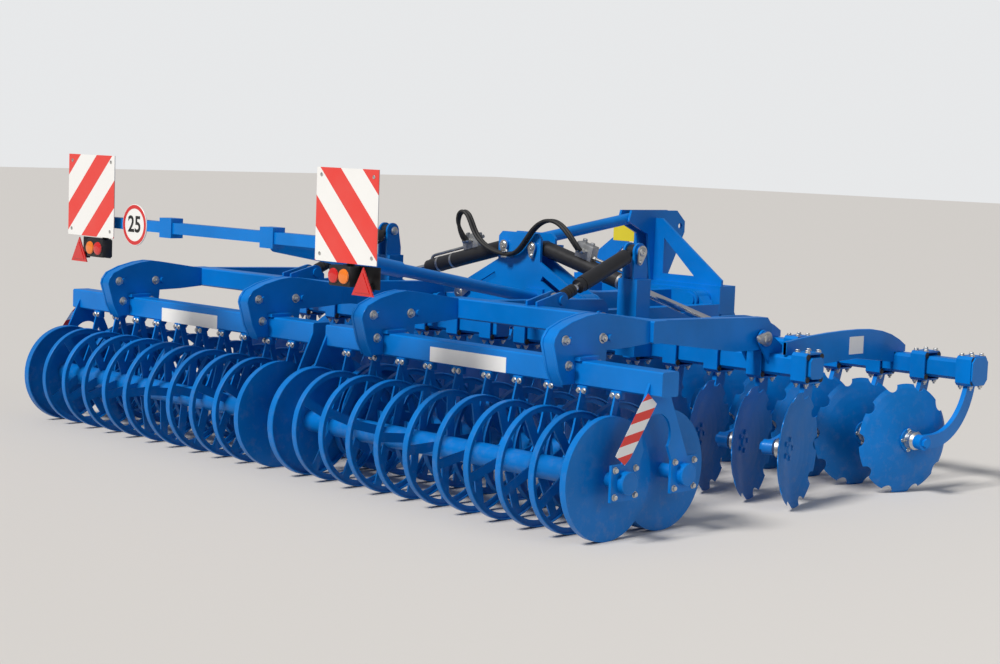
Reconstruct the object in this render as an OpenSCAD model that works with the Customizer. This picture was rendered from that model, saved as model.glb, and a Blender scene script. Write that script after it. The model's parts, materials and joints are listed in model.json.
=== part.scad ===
// Disc harrow, 4 m working width, folding, with a double ring roller.
// Two wings carry two rows of single-mounted notched discs and hang on a centre frame with
// a three-point headstock. Heights count from the ground, lengths from the rear roller's axle,
// widths from the machine's middle; at_origin() then moves the whole to its footprint's middle.

/* [Discs] */
// Radius of a disc over its tips
disc_r = 255; // [230:5:290]
// Thickness of the disc steel
disc_t = 5; // [4:0.5:8]
// Depth of the dish
dish_h = 48; // [30:2:60]
// Radius of the flat centre of a disc
disc_flat_r = 62; // [60:1:75]
// Notches round the rim
notch_n = 10; // [8:1:14]
// Radius of one notch
notch_r = 32; // [24:1:36]
// Angle between a disc's axle and the beam
gang_angle = 17; // [12:1:20]
// Distance between neighbouring discs in a row
disc_pitch = 250; // [248:1:252]
// Discs in each row of a wing
disc_count = 8; // [6:1:8]
// Outermost front disc of the right wing, from the middle
front_disc_x = 2040; // [2000:5:2080]
// Outermost rear disc of the right wing, from the middle
rear_disc_x = 1900; // [1880:5:1920]
// Hub line of the front row, ahead of the rear roller
front_row_y = 1980; // [1950:5:2010]
// Hub line of the rear row, ahead of the rear roller
rear_row_y = 1240; // [1220:5:1260]

/* [Disc hubs and arms] */
// Radius of the hub flange on the disc
flange_r = 56; // [50:1:60]
// Thickness of the hub flange
flange_t = 10; // [8:1:14]
// Radius of the hub barrel
hub_r = 41; // [36:1:46]
// Length of the hub barrel behind the flange
hub_l = 50; // [40:1:60]
// Radius of the hub's tapered end
hub_nose_r = 30; // [26:1:32]
// Length of that taper
hub_nose_l = 14; // [10:1:20]
// Radius of the stub axle
stub_r = 15; // [12:1:18]
// Radial clearance of the stub axle in its hub
run_gap = 0.1; // [0.05:0.05:0.1]
// Gap between a hub and the boss it runs against
face_gap = 0.3; // [0.2:0.1:0.5]
// Radius of the boss at an arm's foot
boss_r = 34; // [30:1:38]
// Length of the boss
boss_l = 48; // [40:1:56]
// Width of an arm, seen from the side
arm_w = 64; // [50:2:76]
// Thickness of an arm
arm_t = 24; // [16:2:30]
// Outer size of an arm's clamp round the beam
clamp_s = 140; // [132:2:150]
// Width of a clamp along the beam
clamp_w = 80; // [60:2:86]
// Wall of a clamp
clamp_wall = 8; // [6:1:10]
// Radius of the rubber rods in a clamp's corners
rubber_r = 14; // [12:1:16]

/* [Wing frame] */
// Height of the front disc beam's middle
front_beam_z = 565; // [550:5:580]
// Front disc beam's middle, ahead of the rear roller
front_beam_y = 2345; // [2330:5:2360]
// Height of the rear disc beam's middle
rear_beam_z = 595; // [580:5:610]
// Rear disc beam's middle, ahead of the rear roller
rear_beam_y = 1470; // [1460:5:1480]
// Size of both square disc beams
beam_s = 96; // [88:2:100]
// Chamfer of the beams' long corners
beam_c = 14; // [10:1:16]
// Reach of the front beams' ends, from the middle
front_beam_end = 2170; // [2170:2:2200]
// Inner end of a beam, from the middle
beam_in = 120; // [110:5:140]
// Wall of the square tubes where they are open to view
tube_wall = 8; // [6:1:10]
// Wing hinge line, from the middle
hinge_x = 420; // [410:5:430]
// Height of the wing hinge line
hinge_z = 760; // [755:5:770]
// Radius of a hinge pin
hinge_pin_r = 25; // [20:1:28]
// Radius round a hinge eye
hinge_eye_r = 52; // [46:1:54]
// Thickness of the plates
plate_t = 15; // [12:1:18]
// Size of the square tube that joins the beams beside the hinge
rail_s = 70; // [60:2:76]
// Wing lug of the fold cylinder, from the middle
fold_lug_x = 1330; // [1310:5:1350]
// Height of the fold cylinder's pin in the wing lug
fold_lug_z = 720; // [715:5:730]

/* [Roller] */
// Radius of the roller rings
ring_r = 250; // [230:5:260]
// Width of a ring's tread
ring_w = 30; // [22:1:36]
// Thickness of a ring's tread
ring_t = 6; // [5:0.5:8]
// Height of the web inside a ring
ring_web = 22; // [16:1:28]
// Distance between neighbouring rings
ring_pitch = 183; // [175:1:190]
// Rings of a rear roller, the two end discs counted
ring_count = 11; // [9:1:11]
// Innermost rear ring, from the middle
ring_x0 = 113; // [108:1:120]
// Distance between the axles of the two rollers
axle_gap = 360; // [350:5:400]
// How far the front roller's end discs stand inside the rear ones
end_inset = 27; // [20:1:30]
// Radius of a roller's centre tube
roller_tube_r = 50; // [44:1:57]
// Spokes of a ring
spoke_n = 4; // [3:1:6]
// Width of a flat spoke
spoke_w = 40; // [30:2:50]
// Radius of a roller's journal
journal_r = 20; // [16:1:24]

/* [Roller frame] */
// Height of the roller beam's middle
roller_beam_z = 630; // [625:5:640]
// Size of the roller beam
roller_beam_s = 100; // [90:2:110]
// Outer end of the roller beam, from the middle
roller_beam_end = 2090; // [2080:5:2105]
// Outer face of the outer side plates that carry the axles, from the middle
side_out_x = 2030; // [2010:5:2050]
// Inner face of the inner side plates, from the middle
side_in_x = 45; // [40:1:50]
// Thickness of the end plates that carry the axles
side_plate_t = 12; // [10:1:15]
// Width of the end plates' legs
leg_w = 92; // [80:2:100]
// Width of the square flange that bolts an axle to its side plate
axle_flange_w = 160; // [130:5:180]
// Height of that flange
axle_flange_h = 146; // [120:2:160]
// Cross beam's middle, ahead of the rear roller
cross_y = 635; // [625:5:645]
// Height of the cross beam's middle
cross_z = 775; // [765:5:780]
// Size of the cross beam
cross_s = 96; // [90:2:100]
// Outer arms and side member, from the middle
member_x = 1589; // [1585:1:1592]
// Inner arms of the roller beam, from the middle
inner_arm_x = 415; // [405:5:440]
// Distance from the outer to the inner side member
member_gap = 1000; // [1000:1:1000]
// Width of a side member
member_w = 60; // [54:2:62]
// Pivot of the roller frame, ahead of the rear roller
pivot_y = 1380; // [1375:5:1385]
// Height of the roller frame's pivot
pivot_z = 712; // [708:2:720]
// Radius of the pivot pins
pivot_pin_r = 20; // [16:1:22]
// Thickness of the humped arm plates
hump_t = 12; // [10:1:15]
// Clear width between the two plates of a humped arm
hump_gap = 52; // [46:2:60]
// Thickness of the scraper fingers
scraper_t = 10; // [8:1:14]

/* [Cylinders] */
// Outer radius of the fold cylinders' barrels
fold_barrel_r = 40; // [36:1:40]
// Radius of the fold cylinders' rods
fold_rod_r = 20; // [18:1:24]
// Fold cylinder's base pin, from the middle
fold_base_x = 100; // [90:5:120]
// Height of the fold cylinder's base pin
fold_base_z = 1030; // [1020:5:1045]
// Length of a fold cylinder's barrel from its pin
fold_barrel_l = 665; // [640:5:670]
// Plane of the fold cylinders, ahead of the rear roller
fold_y = 1511; // [1509:1:1513]
// Depth cylinders, from the middle
depth_x = 880; // [875:1:885]
// Outer radius of the depth cylinders' barrels
depth_barrel_r = 37; // [34:1:38]
// Radius of the depth cylinders' rods
depth_rod_r = 17.5; // [15:0.5:20]
// Length of a depth cylinder's barrel from its pin
depth_barrel_l = 420; // [400:5:425]
// Upper pin of the depth cylinders, ahead of the rear roller
depth_pin_y = 1330; // [1325:5:1335]
// Height of the depth cylinders' upper pin
depth_pin_z = 1060; // [1050:5:1070]
// Lower pin of the depth cylinders, ahead of the rear roller
depth_lug_y = 800; // [790:5:810]
// Height of the depth cylinders' lower pin
depth_lug_z = 845; // [840:5:850]
// Radius of a cylinder's eye
eye_r = 32; // [30:1:34]
// Width of a cylinder's eye
eye_w = 44; // [40:2:46]

/* [Centre frame and headstock] */
// Rear centre plate's rear face, ahead of the rear roller
centre_y = 1446; // [1444:1:1448]
// Clear width between the two centre plates, where wing eyes and cylinders swing
centre_gap = 92; // [92:1:96]
// Width of the centre plates' tops, from the middle
centre_top_x = 150; // [140:5:170]
// Height of the bracket's top that carries the fold cylinders
centre_top_z = 1100; // [1090:5:1110]
// Side tubes of the centre frame, from the middle
spar_x = 250; // [235:5:260]
// Size of the centre frame's side tubes
spar_s = 90; // [80:2:96]
// Rear face of the headstock's cross beam, ahead of the rear roller
head_y = 2446; // [2446:2:2450]
// Depth of the headstock's cross beam along the machine
head_d = 130; // [120:5:140]
// Height of the headstock's cross beam
head_h = 150; // [140:5:160]
// Half length of the headstock's cross beam
head_x = 530; // [530:1:545]
// Top of the mast
mast_top_z = 1215; // [1200:5:1230]
// Hitch line with the lower and top link pins, ahead of the rear roller
hitch_y = 2700; // [2690:5:2710]
// Distance between the middles of the lower link pins
hitch_span = 965; // [960:1:970]
// Height of the lower link pins
hitch_z = 445; // [435:5:455]
// Height of the top link pin above the lower ones
mast_h = 685; // [680:5:690]
// Clear width between the cheeks of a lower link point
link_gap = 60; // [52:2:66]
// Clear width between the mast plates for the top link
mast_gap = 56; // [52:2:60]
// Radius of the holes for the lower link pins
low_hole_r = 18.5; // [18.4:0.1:19]
// Radius of the hole for the top link pin
top_hole_r = 16.1; // [16:0.1:16.5]

/* [Lights] */
// Side of a warning board
board_s = 385; // [360:5:423]
// Middle of a warning board, from the machine's middle
board_x = 930; // [900:5:960]
// Rear face of the boards, behind the rear roller's axle
board_back = 520; // [515:5:530]
// Height of the boards' lower edge
board_z = 1040; // [1030:5:1050]
// Thickness of a board
board_t = 4; // [3:0.5:6]
// Height of the light bar's middle
bar_z = 1110; // [1100:5:1120]
// Size of the light bar
bar_s = 50; // [40:2:60]
// Light bar's middle, behind the rear roller's axle
bar_back = 455; // [450:1:460]
// Boom's joint with the light bar, from the middle
boom_x = 370; // [330:5:372]
// Radius of the boom
boom_r = 30; // [26:1:32]
// Radius of the boom's sleeve
sleeve_r = 38; // [34:1:40]
// Boom's foot on the rear centre plate, from the middle
boom_foot_x = 130; // [110:5:140]
// Height of the boom's foot
boom_foot_z = 770; // [765:5:790]
// Radius of the speed disc
speed_r = 103; // [95:1:110]
// Middle of the speed disc, from the middle of the machine
speed_x = -650; // [-670:5:-630]
// Height of the speed disc's middle
speed_z = 1100; // [1080:5:1110]

/* [Hidden] */
$fn = 48;
// Colours
paint = [0.0, 0.42, 0.82];
chrome = [0.8, 0.8, 0.82];
black = [0.08, 0.08, 0.09];
grey = [0.62, 0.63, 0.65];
// Footprint along the machine, from which its middle follows
lens_h = 12;
hitch_nose = 45;
rear_y = -board_back - lens_h;
front_y = hitch_y + hitch_nose;
mid_y = (front_y + rear_y) / 2;
// Disc: sphere of the dish, stub axle and the distance from the disc to its boss
dish_rs = (disc_r * disc_r + dish_h * dish_h) / (2 * dish_h);
hub_start = disc_t + flange_t;
stub_l = hub_l - 12;
boss_start = hub_start + hub_l + face_gap;
arm_off = boss_start + boss_l / 2;
arm_dx = arm_off * cos(gang_angle);
arm_dy = arm_off * sin(gang_angle);
// Discs of the left wing carry on the pattern of the right one
skip_front = disc_count + 1;
skip_rear = disc_count;
// Rows: name, x of the first disc, hub line, side of the hub, beam's y and z
ROWS = [
    ["front_r", front_disc_x, front_row_y, 1, front_beam_y, front_beam_z],
    ["front_l", front_disc_x - skip_front * disc_pitch, front_row_y, 1, front_beam_y, front_beam_z],
    ["rear_r", rear_disc_x, rear_row_y, -1, rear_beam_y, rear_beam_z],
    ["rear_l", rear_disc_x - skip_rear * disc_pitch, rear_row_y, -1, rear_beam_y, rear_beam_z]
];
function row_x(row, k) = row[1] - k * disc_pitch;
function arm_x(row, k) = row_x(row, k) + row[3] * arm_dx;
function disc_name(row, k) = str("disc_", row[0], k + 1);
FRONT_R = ROWS[0];
FRONT_L = ROWS[1];
REAR_R = ROWS[2];
REAR_L = ROWS[3];
// Arms of a wing, counted outwards from the middle on its own side
function front_arm(side, k) = side > 0 ? arm_x(FRONT_R, disc_count - 1 - k) : -arm_x(FRONT_L, k);
function rear_arm(side, k) = side > 0 ? arm_x(REAR_R, disc_count - 1 - k) : -arm_x(REAR_L, k);
beam_margin = clamp_w / 2 + 6;
// Levels of the wing
front_beam_top = front_beam_z + beam_s / 2;
rear_beam_top = rear_beam_z + beam_s / 2;
rear_beam_rear = rear_beam_y - beam_s / 2;
rear_beam_front = rear_beam_y + beam_s / 2;
front_beam_rear = front_beam_y - beam_s / 2;
front_beam_front = front_beam_y + beam_s / 2;
clamp_clear = 10;
rail_z = rear_beam_z + clamp_s / 2 + clamp_clear;
rail_x = hinge_x + 80;
rail_foot = 22;
member_nose = 80;
rail_y = pivot_y + member_nose + 12;
swing_gap = 6;
// Roller frame ears stand each side of a member
ear_t = 12;
ear_gap = 7;
pin_head = 10;
// Fork widths
fork_gap = 3;
fork_t = 12;
fold_fork = 5;
pin_r = 15;
foot_w = 60;
post_w = 120;
post_l = 100;
post_rear = depth_pin_y - 40;
post_top = depth_pin_z - 130;
post_bottom = rear_beam_z - 35;
// Hinge plates of the centre frame: rear pair and front pair
front_plates_y = head_y - 2 * plate_t - centre_gap;
plates_mid = plate_t + centre_gap / 2;
spar_z = hinge_z;
// Roller: width, and the x of the front roller's rings
roller_w = (ring_count - 1) * ring_pitch;
front_ring_x0 = ring_x0 + ring_pitch / 2;
end_plate_t = 8;
roller_beam_y = axle_gap / 2;
// Cylinders: rest positions, lengths and angles
fold_dx = fold_lug_x - fold_base_x;
fold_dz = fold_lug_z - fold_base_z;
fold_len = norm([fold_dx, fold_dz]);
fold_ang = atan2(-fold_dz, fold_dx);
fold_rod_l = 665;
fold_neck = eye_r + 8;
fold_bore_end = fold_neck + 20;
depth_dy = depth_lug_y - depth_pin_y;
depth_dz = depth_lug_z - depth_pin_z;
depth_len = norm([depth_dy, depth_dz]);
depth_ang = atan2(-depth_dz, -depth_dy);
depth_rod_l = depth_len - 130;
// The depth barrel's tube starts clear of its post's rear edge through the whole swing
post_clear = 9;
depth_neck = (depth_pin_y - post_rear + depth_barrel_r * sin(depth_ang) + post_clear) / cos(depth_ang);
depth_bore_end = depth_neck + 22;
// Hoses from the left to the right fold cylinder's supply, points chosen along their droop
hose_r = 11;
hose_gap = 28;
HOSE_PTS = [
    [-125, 0, 1040], [-125, 0, 1085], [-122, 2, 1130], [-95, 4, 1150], [-62, 4, 1140],
    [-30, 4, 1125], [5, 4, 1128], [40, 4, 1150], [75, 4, 1160], [108, 2, 1135], [115, 0, 1085], [115, 0, 1040]
];

// Moves the machine so that its footprint's middle is the origin
module at_origin() {
    translate([0, -mid_y, 0])
        children();
}

// The right half as drawn, or its mirror image for side -1
module on_side(side) {
    mirror([side > 0 ? 0 : 1, 0, 0])
        children();
}

// Square bar along x with chamfered edges
module beam(x0, x1, y, z, s, c) {
    h = s / 2;
    translate([x0, y, z])
        rotate([90, 0, 90])
            linear_extrude(x1 - x0)
                polygon([[-h + c, -h], [h - c, -h], [h, -h + c], [h, h - c],
                         [h - c, h], [-h + c, h], [-h, h - c], [-h, -h + c]]);
}

// Plate across x, drawn as an outline of y and z
module side_plate(x, t) {
    translate([x, 0, 0])
        rotate([90, 0, 90])
            linear_extrude(t)
                children();
}

// Plate across y, drawn as an outline of x and z
module cross_plate(y, t) {
    translate([0, y + t, 0])
        rotate([90, 0, 0])
            linear_extrude(t)
                children();
}

// Round bar along x or y
module bar_x(x0, x1, y, z, r) {
    translate([x0, y, z])
        rotate([0, 90, 0])
            cylinder(r = r, h = x1 - x0);
}
module bar_y(y0, y1, x, z, r) {
    translate([x, y0, z])
        rotate([-90, 0, 0])
            cylinder(r = r, h = y1 - y0);
}

// Round bar between two points
module bar(a, b, r) {
    d = b - a;
    translate(a)
        rotate([0, acos(d.z / norm(d)), atan2(d.y, d.x)])
            cylinder(r = r, h = norm(d));
}

// Half outline of the dish: both faces follow the sphere outside the flat centre
function dish_drop(r) = sqrt(dish_rs * dish_rs - disc_flat_r * disc_flat_r) - sqrt(dish_rs * dish_rs - r * r);
module dish() {
    steps = 5;
    edge = disc_r - 18;
    radii = [for (i = [0:steps]) disc_flat_r + (edge - disc_flat_r) * i / steps];
    rotate_extrude($fn = 96)
        polygon(concat(
            [[0, disc_t], for (r = radii) [r, disc_t - dish_drop(r)]],
            [[disc_r, 1 - dish_drop(disc_r)], [disc_r, -dish_drop(disc_r)]],
            [for (i = [steps:-1:0]) [radii[i], -dish_drop(radii[i])], [0, 0]]
        ));
}

// One disc with its hub; its axle lies along x and the hub is on the convex side
module disc_and_hub() {
    rotate([0, 90, 0]) {
        difference() {
            dish();
            for (i = [0:notch_n - 1])
                rotate([0, 0, (i + 0.5) * 360 / notch_n])
                    translate([disc_r + 7, 0, -2 * dish_h])
                        cylinder(r = notch_r, h = 4 * dish_h);
        }
        difference() {
            union() {
                translate([0, 0, disc_t])
                    cylinder(r = flange_r, h = flange_t);
                translate([0, 0, hub_start])
                    cylinder(r = hub_r, h = hub_l - hub_nose_l);
                translate([0, 0, hub_start + hub_l - hub_nose_l])
                    cylinder(r1 = hub_r, r2 = hub_nose_r, h = hub_nose_l);
            }
            translate([0, 0, hub_start + hub_l - stub_l - 2])
                cylinder(r = stub_r + run_gap, h = stub_l + 10);
        }
        translate([0, 0, -7])
            cylinder(r1 = 18, r2 = 26, h = 7);
    }
}

// A row's disc in its place
module disc(row, k) {
    color(paint)
        translate([row_x(row, k), row[2], disc_r])
            mirror([row[3] > 0 ? 0 : 1, 0, 0])
                rotate([0, 0, -gang_angle])
                    disc_and_hub();
}

// Curved flat arm from the hub to the underside of the clamp, ly ahead and lz up
module arm_bar(ly, lz) {
    top = lz - clamp_s / 2 + clamp_wall / 2;
    bend = min(ly, lz);
    turn = bend > top ? acos((bend - top) / bend) : 90;
    translate([-arm_t / 2, 0, -arm_w / 2])
        cube([arm_t, ly - bend + 1, arm_w]);
    rotate([90, 0, 90])
        translate([ly - bend, bend, -arm_t / 2])
            rotate([0, 0, -90])
                rotate_extrude(angle = turn, $fn = 96)
                    translate([bend - arm_w / 2, 0])
                        square([arm_w, arm_t]);
    if (top > bend)
        translate([-arm_t / 2, ly - arm_w / 2, bend])
            cube([arm_t, arm_w, top - bend]);
}

// Clamp round a beam with rubber rods in its corners
module clamp() {
    inner = clamp_s / 2 - clamp_wall;
    rod_at = ((beam_s - beam_c) / sqrt(2) + face_gap + rubber_r) / sqrt(2);
    difference() {
        beam(-clamp_w / 2, clamp_w / 2, 0, 0, clamp_s, beam_c);
        translate([-clamp_w, -inner, -inner])
            cube([2 * clamp_w, 2 * inner, 2 * inner]);
    }
    for (sy = [-1, 1], sz = [-1, 1])
        bar_x(-clamp_w / 2, clamp_w / 2, sy * rod_at, sz * rod_at, rubber_r);
}

// One arm with stub axle, boss and clamp, drawn from its disc's middle
module disc_arm(row) {
    ly = row[4] - row[2] + arm_dy;
    lz = row[5] - disc_r;
    mirror([row[3] > 0 ? 0 : 1, 0, 0]) {
        rotate([0, 0, -gang_angle])
            rotate([0, 90, 0]) {
                translate([0, 0, boss_start])
                    cylinder(r = boss_r, h = boss_l);
                translate([0, 0, boss_start - stub_l])
                    cylinder(r = stub_r, h = stub_l + 1);
                translate([0, 0, boss_start + boss_l])
                    cylinder(r = boss_r * 0.62, h = 14, $fn = 6);
            }
        translate([arm_dx, -arm_dy, 0]) {
            arm_bar(ly, lz);
            translate([0, ly, lz])
                clamp();
        }
    }
}

// All arms of one wing
module disc_arms(side) {
    color(paint)
        for (row = side > 0 ? [FRONT_R, REAR_R] : [FRONT_L, REAR_L], k = [0:disc_count - 1])
            translate([row_x(row, k), row[2], disc_r])
                disc_arm(row);
}

// Arched plate that joins the two disc beams, standing midway between the clamps of both rows
module arch_plate(x) {
    side_plate(x - plate_t / 2, plate_t)
        polygon([
            [rear_beam_rear, rear_beam_top], [rear_beam_rear, rear_beam_top + 62],
            [front_row_y + 100, rear_beam_top + 85], [front_beam_front, front_beam_top + 22],
            [front_beam_front, front_beam_top], [front_beam_rear, front_beam_top],
            [front_beam_rear, front_beam_top - 45], [front_row_y, rear_beam_top - 30],
            [rear_beam_front, rear_beam_top - 60], [rear_beam_front, rear_beam_top]
        ]);
}

// Ear for the roller frame's pivot
module pivot_ear(x) {
    side_plate(x, ear_t) {
        translate([pivot_y, pivot_z])
            circle(r = 40);
        polygon([
            [pivot_y - 30, pivot_z - 27], [rear_beam_rear, rear_beam_z],
            [rear_beam_rear, rear_beam_top], [rear_beam_front - 4, rear_beam_top],
            [rear_beam_front - 4, rear_beam_top + 34], [pivot_y + 18, pivot_z + 36]
        ]);
    }
}

// Pin with its two ears at one side member
module pivot_ears(x) {
    inner = x - member_w / 2 - 43;
    outer = x + member_w / 2 + ear_gap;
    pivot_ear(inner - ear_t);
    pivot_ear(outer);
    bar_x(inner - ear_t - pin_head, outer + ear_t + 1, pivot_y, pivot_z, pivot_pin_r);
    bar_x(outer + ear_t, outer + ear_t + pin_head, pivot_y, pivot_z, pivot_pin_r + 14);
    bar_x(inner, x - member_w / 2 - ear_gap, pivot_y, pivot_z, pivot_pin_r + 12);
}

// Eye of the wing hinge with its web to the rail, y counted from the hinge plates' rear face
module wing_eye(y) {
    y0 = y + plate_t + swing_gap;
    len = centre_gap - 2 * swing_gap;
    difference() {
        union() {
            bar_y(y0, y0 + len, hinge_x, hinge_z, hinge_eye_r);
            cross_plate(y0, len)
                polygon([
                    [hinge_x, hinge_z - hinge_eye_r], [rail_x + 2, rail_z],
                    [rail_x + 2, rail_z + rail_s], [hinge_x + 25, hinge_z + 45]
                ]);
        }
        bar_y(y0 - 1, y0 + len + 1, hinge_x, hinge_z, hinge_pin_r + run_gap);
    }
}

// Two fork plates across y for a rod's eye in the fold cylinder's plane
module fold_lug() {
    eye_space = eye_w / 2 + fold_fork;
    for (y = [fold_y - eye_space - fork_t, fold_y + eye_space]) {
        cross_plate(y, fork_t) {
            translate([fold_lug_x, fold_lug_z])
                circle(r = 36);
            polygon([
                [fold_lug_x - 99, rear_beam_top], [fold_lug_x - 60, rear_beam_top],
                [fold_lug_x - 60, rail_z], [fold_lug_x + 32, rail_z],
                [fold_lug_x + 32, rear_beam_top], [fold_lug_x + 58, rear_beam_top],
                [fold_lug_x + 58, rail_z + 10], [fold_lug_x + 28, fold_lug_z + 22],
                [fold_lug_x - 28, fold_lug_z + 22], [fold_lug_x - 99, rail_z + 10]
            ]);
        }
    }
    for (x = [fold_lug_x - 99, fold_lug_x + 32])
        translate([x, rear_beam_y, rear_beam_top - 1])
            cube([x < fold_lug_x ? 39 : 26, fold_y + eye_space + fork_t - rear_beam_y, 21]);
    bar_y(fold_y - eye_space - fork_t - pin_head, fold_y - eye_space, fold_lug_x, fold_lug_z, pin_r + 8);
    bar_y(fold_y + eye_space, fold_y + eye_space + fork_t + pin_head, fold_lug_x, fold_lug_z, pin_r + 8);
}

// Post on the rear beam that holds the depth cylinder's upper pin
module depth_post(side) {
    foot_mid = rear_arm(side, 3) < depth_x ? depth_x + 25 : depth_x - 25;
    space = eye_w / 2 + fork_gap;
    translate([depth_x - post_w / 2, post_rear, post_bottom])
        cube([post_w, post_l, post_top - post_bottom]);
    translate([foot_mid - foot_w / 2, post_rear + post_l - 1, post_bottom])
        cube([foot_w, rear_beam_rear - post_rear - post_l + 1, rear_beam_top - post_bottom]);
    for (x = [depth_x - space - fork_t, depth_x + space])
        side_plate(x, fork_t) {
            translate([depth_pin_y, depth_pin_z])
                circle(r = 42);
            polygon([
                [post_rear, post_top - 30], [post_rear + post_l, post_top - 30],
                [post_rear + post_l, post_top + 40], [depth_pin_y + 38, depth_pin_z + 18],
                [depth_pin_y - 40, depth_pin_z + 12]
            ]);
        }
    bar_x(depth_x - space - fork_t - pin_head, depth_x + space + fork_t + pin_head,
          depth_pin_y, depth_pin_z, pin_r);
    bar_x(depth_x + space + fork_t, depth_x + space + fork_t + pin_head, depth_pin_y, depth_pin_z, pin_r + 12);
}

// Main frame of one wing
module wing_frame(side) {
    rear_in = min(beam_in, rear_arm(side, 0) - beam_margin);
    rear_out = rear_arm(side, disc_count - 1) + beam_margin + 8;
    front_in = min(beam_in, front_arm(side, 0) - beam_margin);
    out_k = disc_count - 2;
    arch_x = (rear_arm(side, out_k) + front_arm(side, out_k - (side > 0 ? 1 : 0)) + disc_pitch) / 2;
    color(paint)
        on_side(side) {
            beam(rear_in, rear_out, rear_beam_y, rear_beam_z, beam_s, beam_c);
            beam(front_in, front_beam_end, front_beam_y, front_beam_z, beam_s, beam_c);
            for (x = [arch_x, arch_x - 3 * disc_pitch])
                arch_plate(x);
            translate([rail_x, rail_y, rail_z])
                cube([rail_s, front_beam_front - rail_y, rail_s]);
            translate([rail_x, rail_y, rear_beam_top - 1])
                cube([rail_foot, rear_beam_front - beam_c - rail_y, rail_z - rear_beam_top + 2]);
            translate([rail_x, front_beam_rear + beam_c, front_beam_top - 1])
                cube([rail_s, beam_s - 2 * beam_c, rail_z - front_beam_top + 2]);
            wing_eye(centre_y);
            wing_eye(front_plates_y);
            for (x = [member_x, member_x - member_gap])
                pivot_ears(x);
            fold_lug();
            depth_post(side);
        }
}

// Side member from the cross beam to the pivot, bored for the pin
module member(x) {
    difference() {
        side_plate(x - member_w / 2, member_w)
            polygon([
                [cross_y, cross_z - cross_s / 2], [pivot_y - 190, pivot_z - 52],
                [pivot_y - 10, pivot_z - 52], [pivot_y + 5, pivot_z - 28],
                [pivot_y + member_nose - 5, pivot_z - 28], [pivot_y + member_nose - 5, pivot_z + 58],
                [pivot_y + member_nose - 40, pivot_z + 94], [pivot_y - 190, pivot_z + 100],
                [cross_y, cross_z + cross_s / 2]
            ]);
        bar_x(x - member_w, x + member_w, pivot_y, pivot_z, pivot_pin_r + run_gap);
    }
}

// Humped arm: two plates from the cross beam over the roller beam, with spacer bolts and a saddle
module humped_arm(x) {
    beam_top = roller_beam_z + roller_beam_s / 2;
    for (x0 = [x - hump_gap / 2 - hump_t, x + hump_gap / 2])
        side_plate(x0, hump_t)
            polygon([
                [12, beam_top + 62], [12, beam_top + 92], [40, beam_top + 122],
                [200, beam_top + 176], [260, beam_top + 188], [310, beam_top + 184],
                [cross_y - cross_s / 2 + 1, cross_z + cross_s / 2],
                [cross_y - cross_s / 2 + 1, cross_z - cross_s / 2],
                [450, beam_top + 38], [60, beam_top + 34]
            ]);
    for (y = [roller_beam_y - 91, roller_beam_y + 151])
        bar_x(x - hump_gap / 2 - hump_t - 14, x + hump_gap / 2 + hump_t + 14, y, beam_top + 85, 14);
    translate([x - hump_gap / 2 - 1, roller_beam_y - 80, beam_top])
        cube([hump_gap + 2, 160, 60]);
    translate([x - hump_gap / 2 - 46, roller_beam_y - 60, beam_top])
        cube([hump_gap + 92, 120, 16]);
}

// Lug plates on the cross beam for the depth cylinder's rod eye
module depth_lug() {
    space = eye_w / 2 + fork_gap;
    for (x = [depth_x - space - fork_t, depth_x + space])
        side_plate(x, fork_t) {
            translate([depth_lug_y, depth_lug_z])
                circle(r = 38);
            polygon([
                [cross_y, cross_z - 30], [cross_y, cross_z + cross_s / 2 + 20],
                [depth_lug_y - 10, depth_lug_z + 37], [depth_lug_y + 20, depth_lug_z - 32]
            ]);
        }
    bar_x(depth_x - space - fork_t - pin_head, depth_x - space, depth_lug_y, depth_lug_z, pin_r + 8);
    bar_x(depth_x + space, depth_x + space + fork_t + pin_head, depth_lug_y, depth_lug_z, pin_r + 8);
}

// Frame that swings the roller of one wing
module roller_frame(side) {
    cross_in = inner_arm_x - hump_gap / 2 - hump_t;
    cross_out = member_x + 60;
    color(paint)
        on_side(side) {
            beam(cross_in, cross_out, cross_y, cross_z, cross_s, 6);
            for (x = [member_x, member_x - member_gap])
                member(x);
            for (x = [member_x, inner_arm_x])
                humped_arm(x);
            depth_lug();
        }
}

// Leg of a side plate from an axle to the roller beam
module leg(y) {
    top = [roller_beam_y, roller_beam_z];
    foot = [y, ring_r];
    d = top - foot;
    translate(foot)
        rotate(atan2(d.y, d.x))
            translate([0, -leg_w / 2])
                square([norm(d), leg_w]);
    translate(foot)
        square([axle_flange_w, axle_flange_h], center = true);
}

// Side plate that carries both axles at one end of the roller beam
module axle_plate(x, t) {
    web_z = roller_beam_z - 210;
    difference() {
        side_plate(x, t)
            difference() {
                union() {
                    leg(0);
                    leg(axle_gap);
                    polygon([
                        [roller_beam_y - 95, web_z], [roller_beam_y + 95, web_z],
                        [roller_beam_y + 50, roller_beam_z - 50], [roller_beam_y - 50, roller_beam_z - 50]
                    ]);
                }
                translate([roller_beam_y, web_z])
                    circle(r = 88);
            }
        for (y = [0, axle_gap])
            bar_x(x - 1, x + t + 1, y, ring_r, journal_r + run_gap);
    }
}

// Bearing housing on a side plate
module bearing(x, t, y) {
    difference() {
        bar_x(x, x + t, y, ring_r, 46);
        bar_x(x - 1, x + t + 1, y, ring_r, journal_r + run_gap);
    }
}

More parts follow.
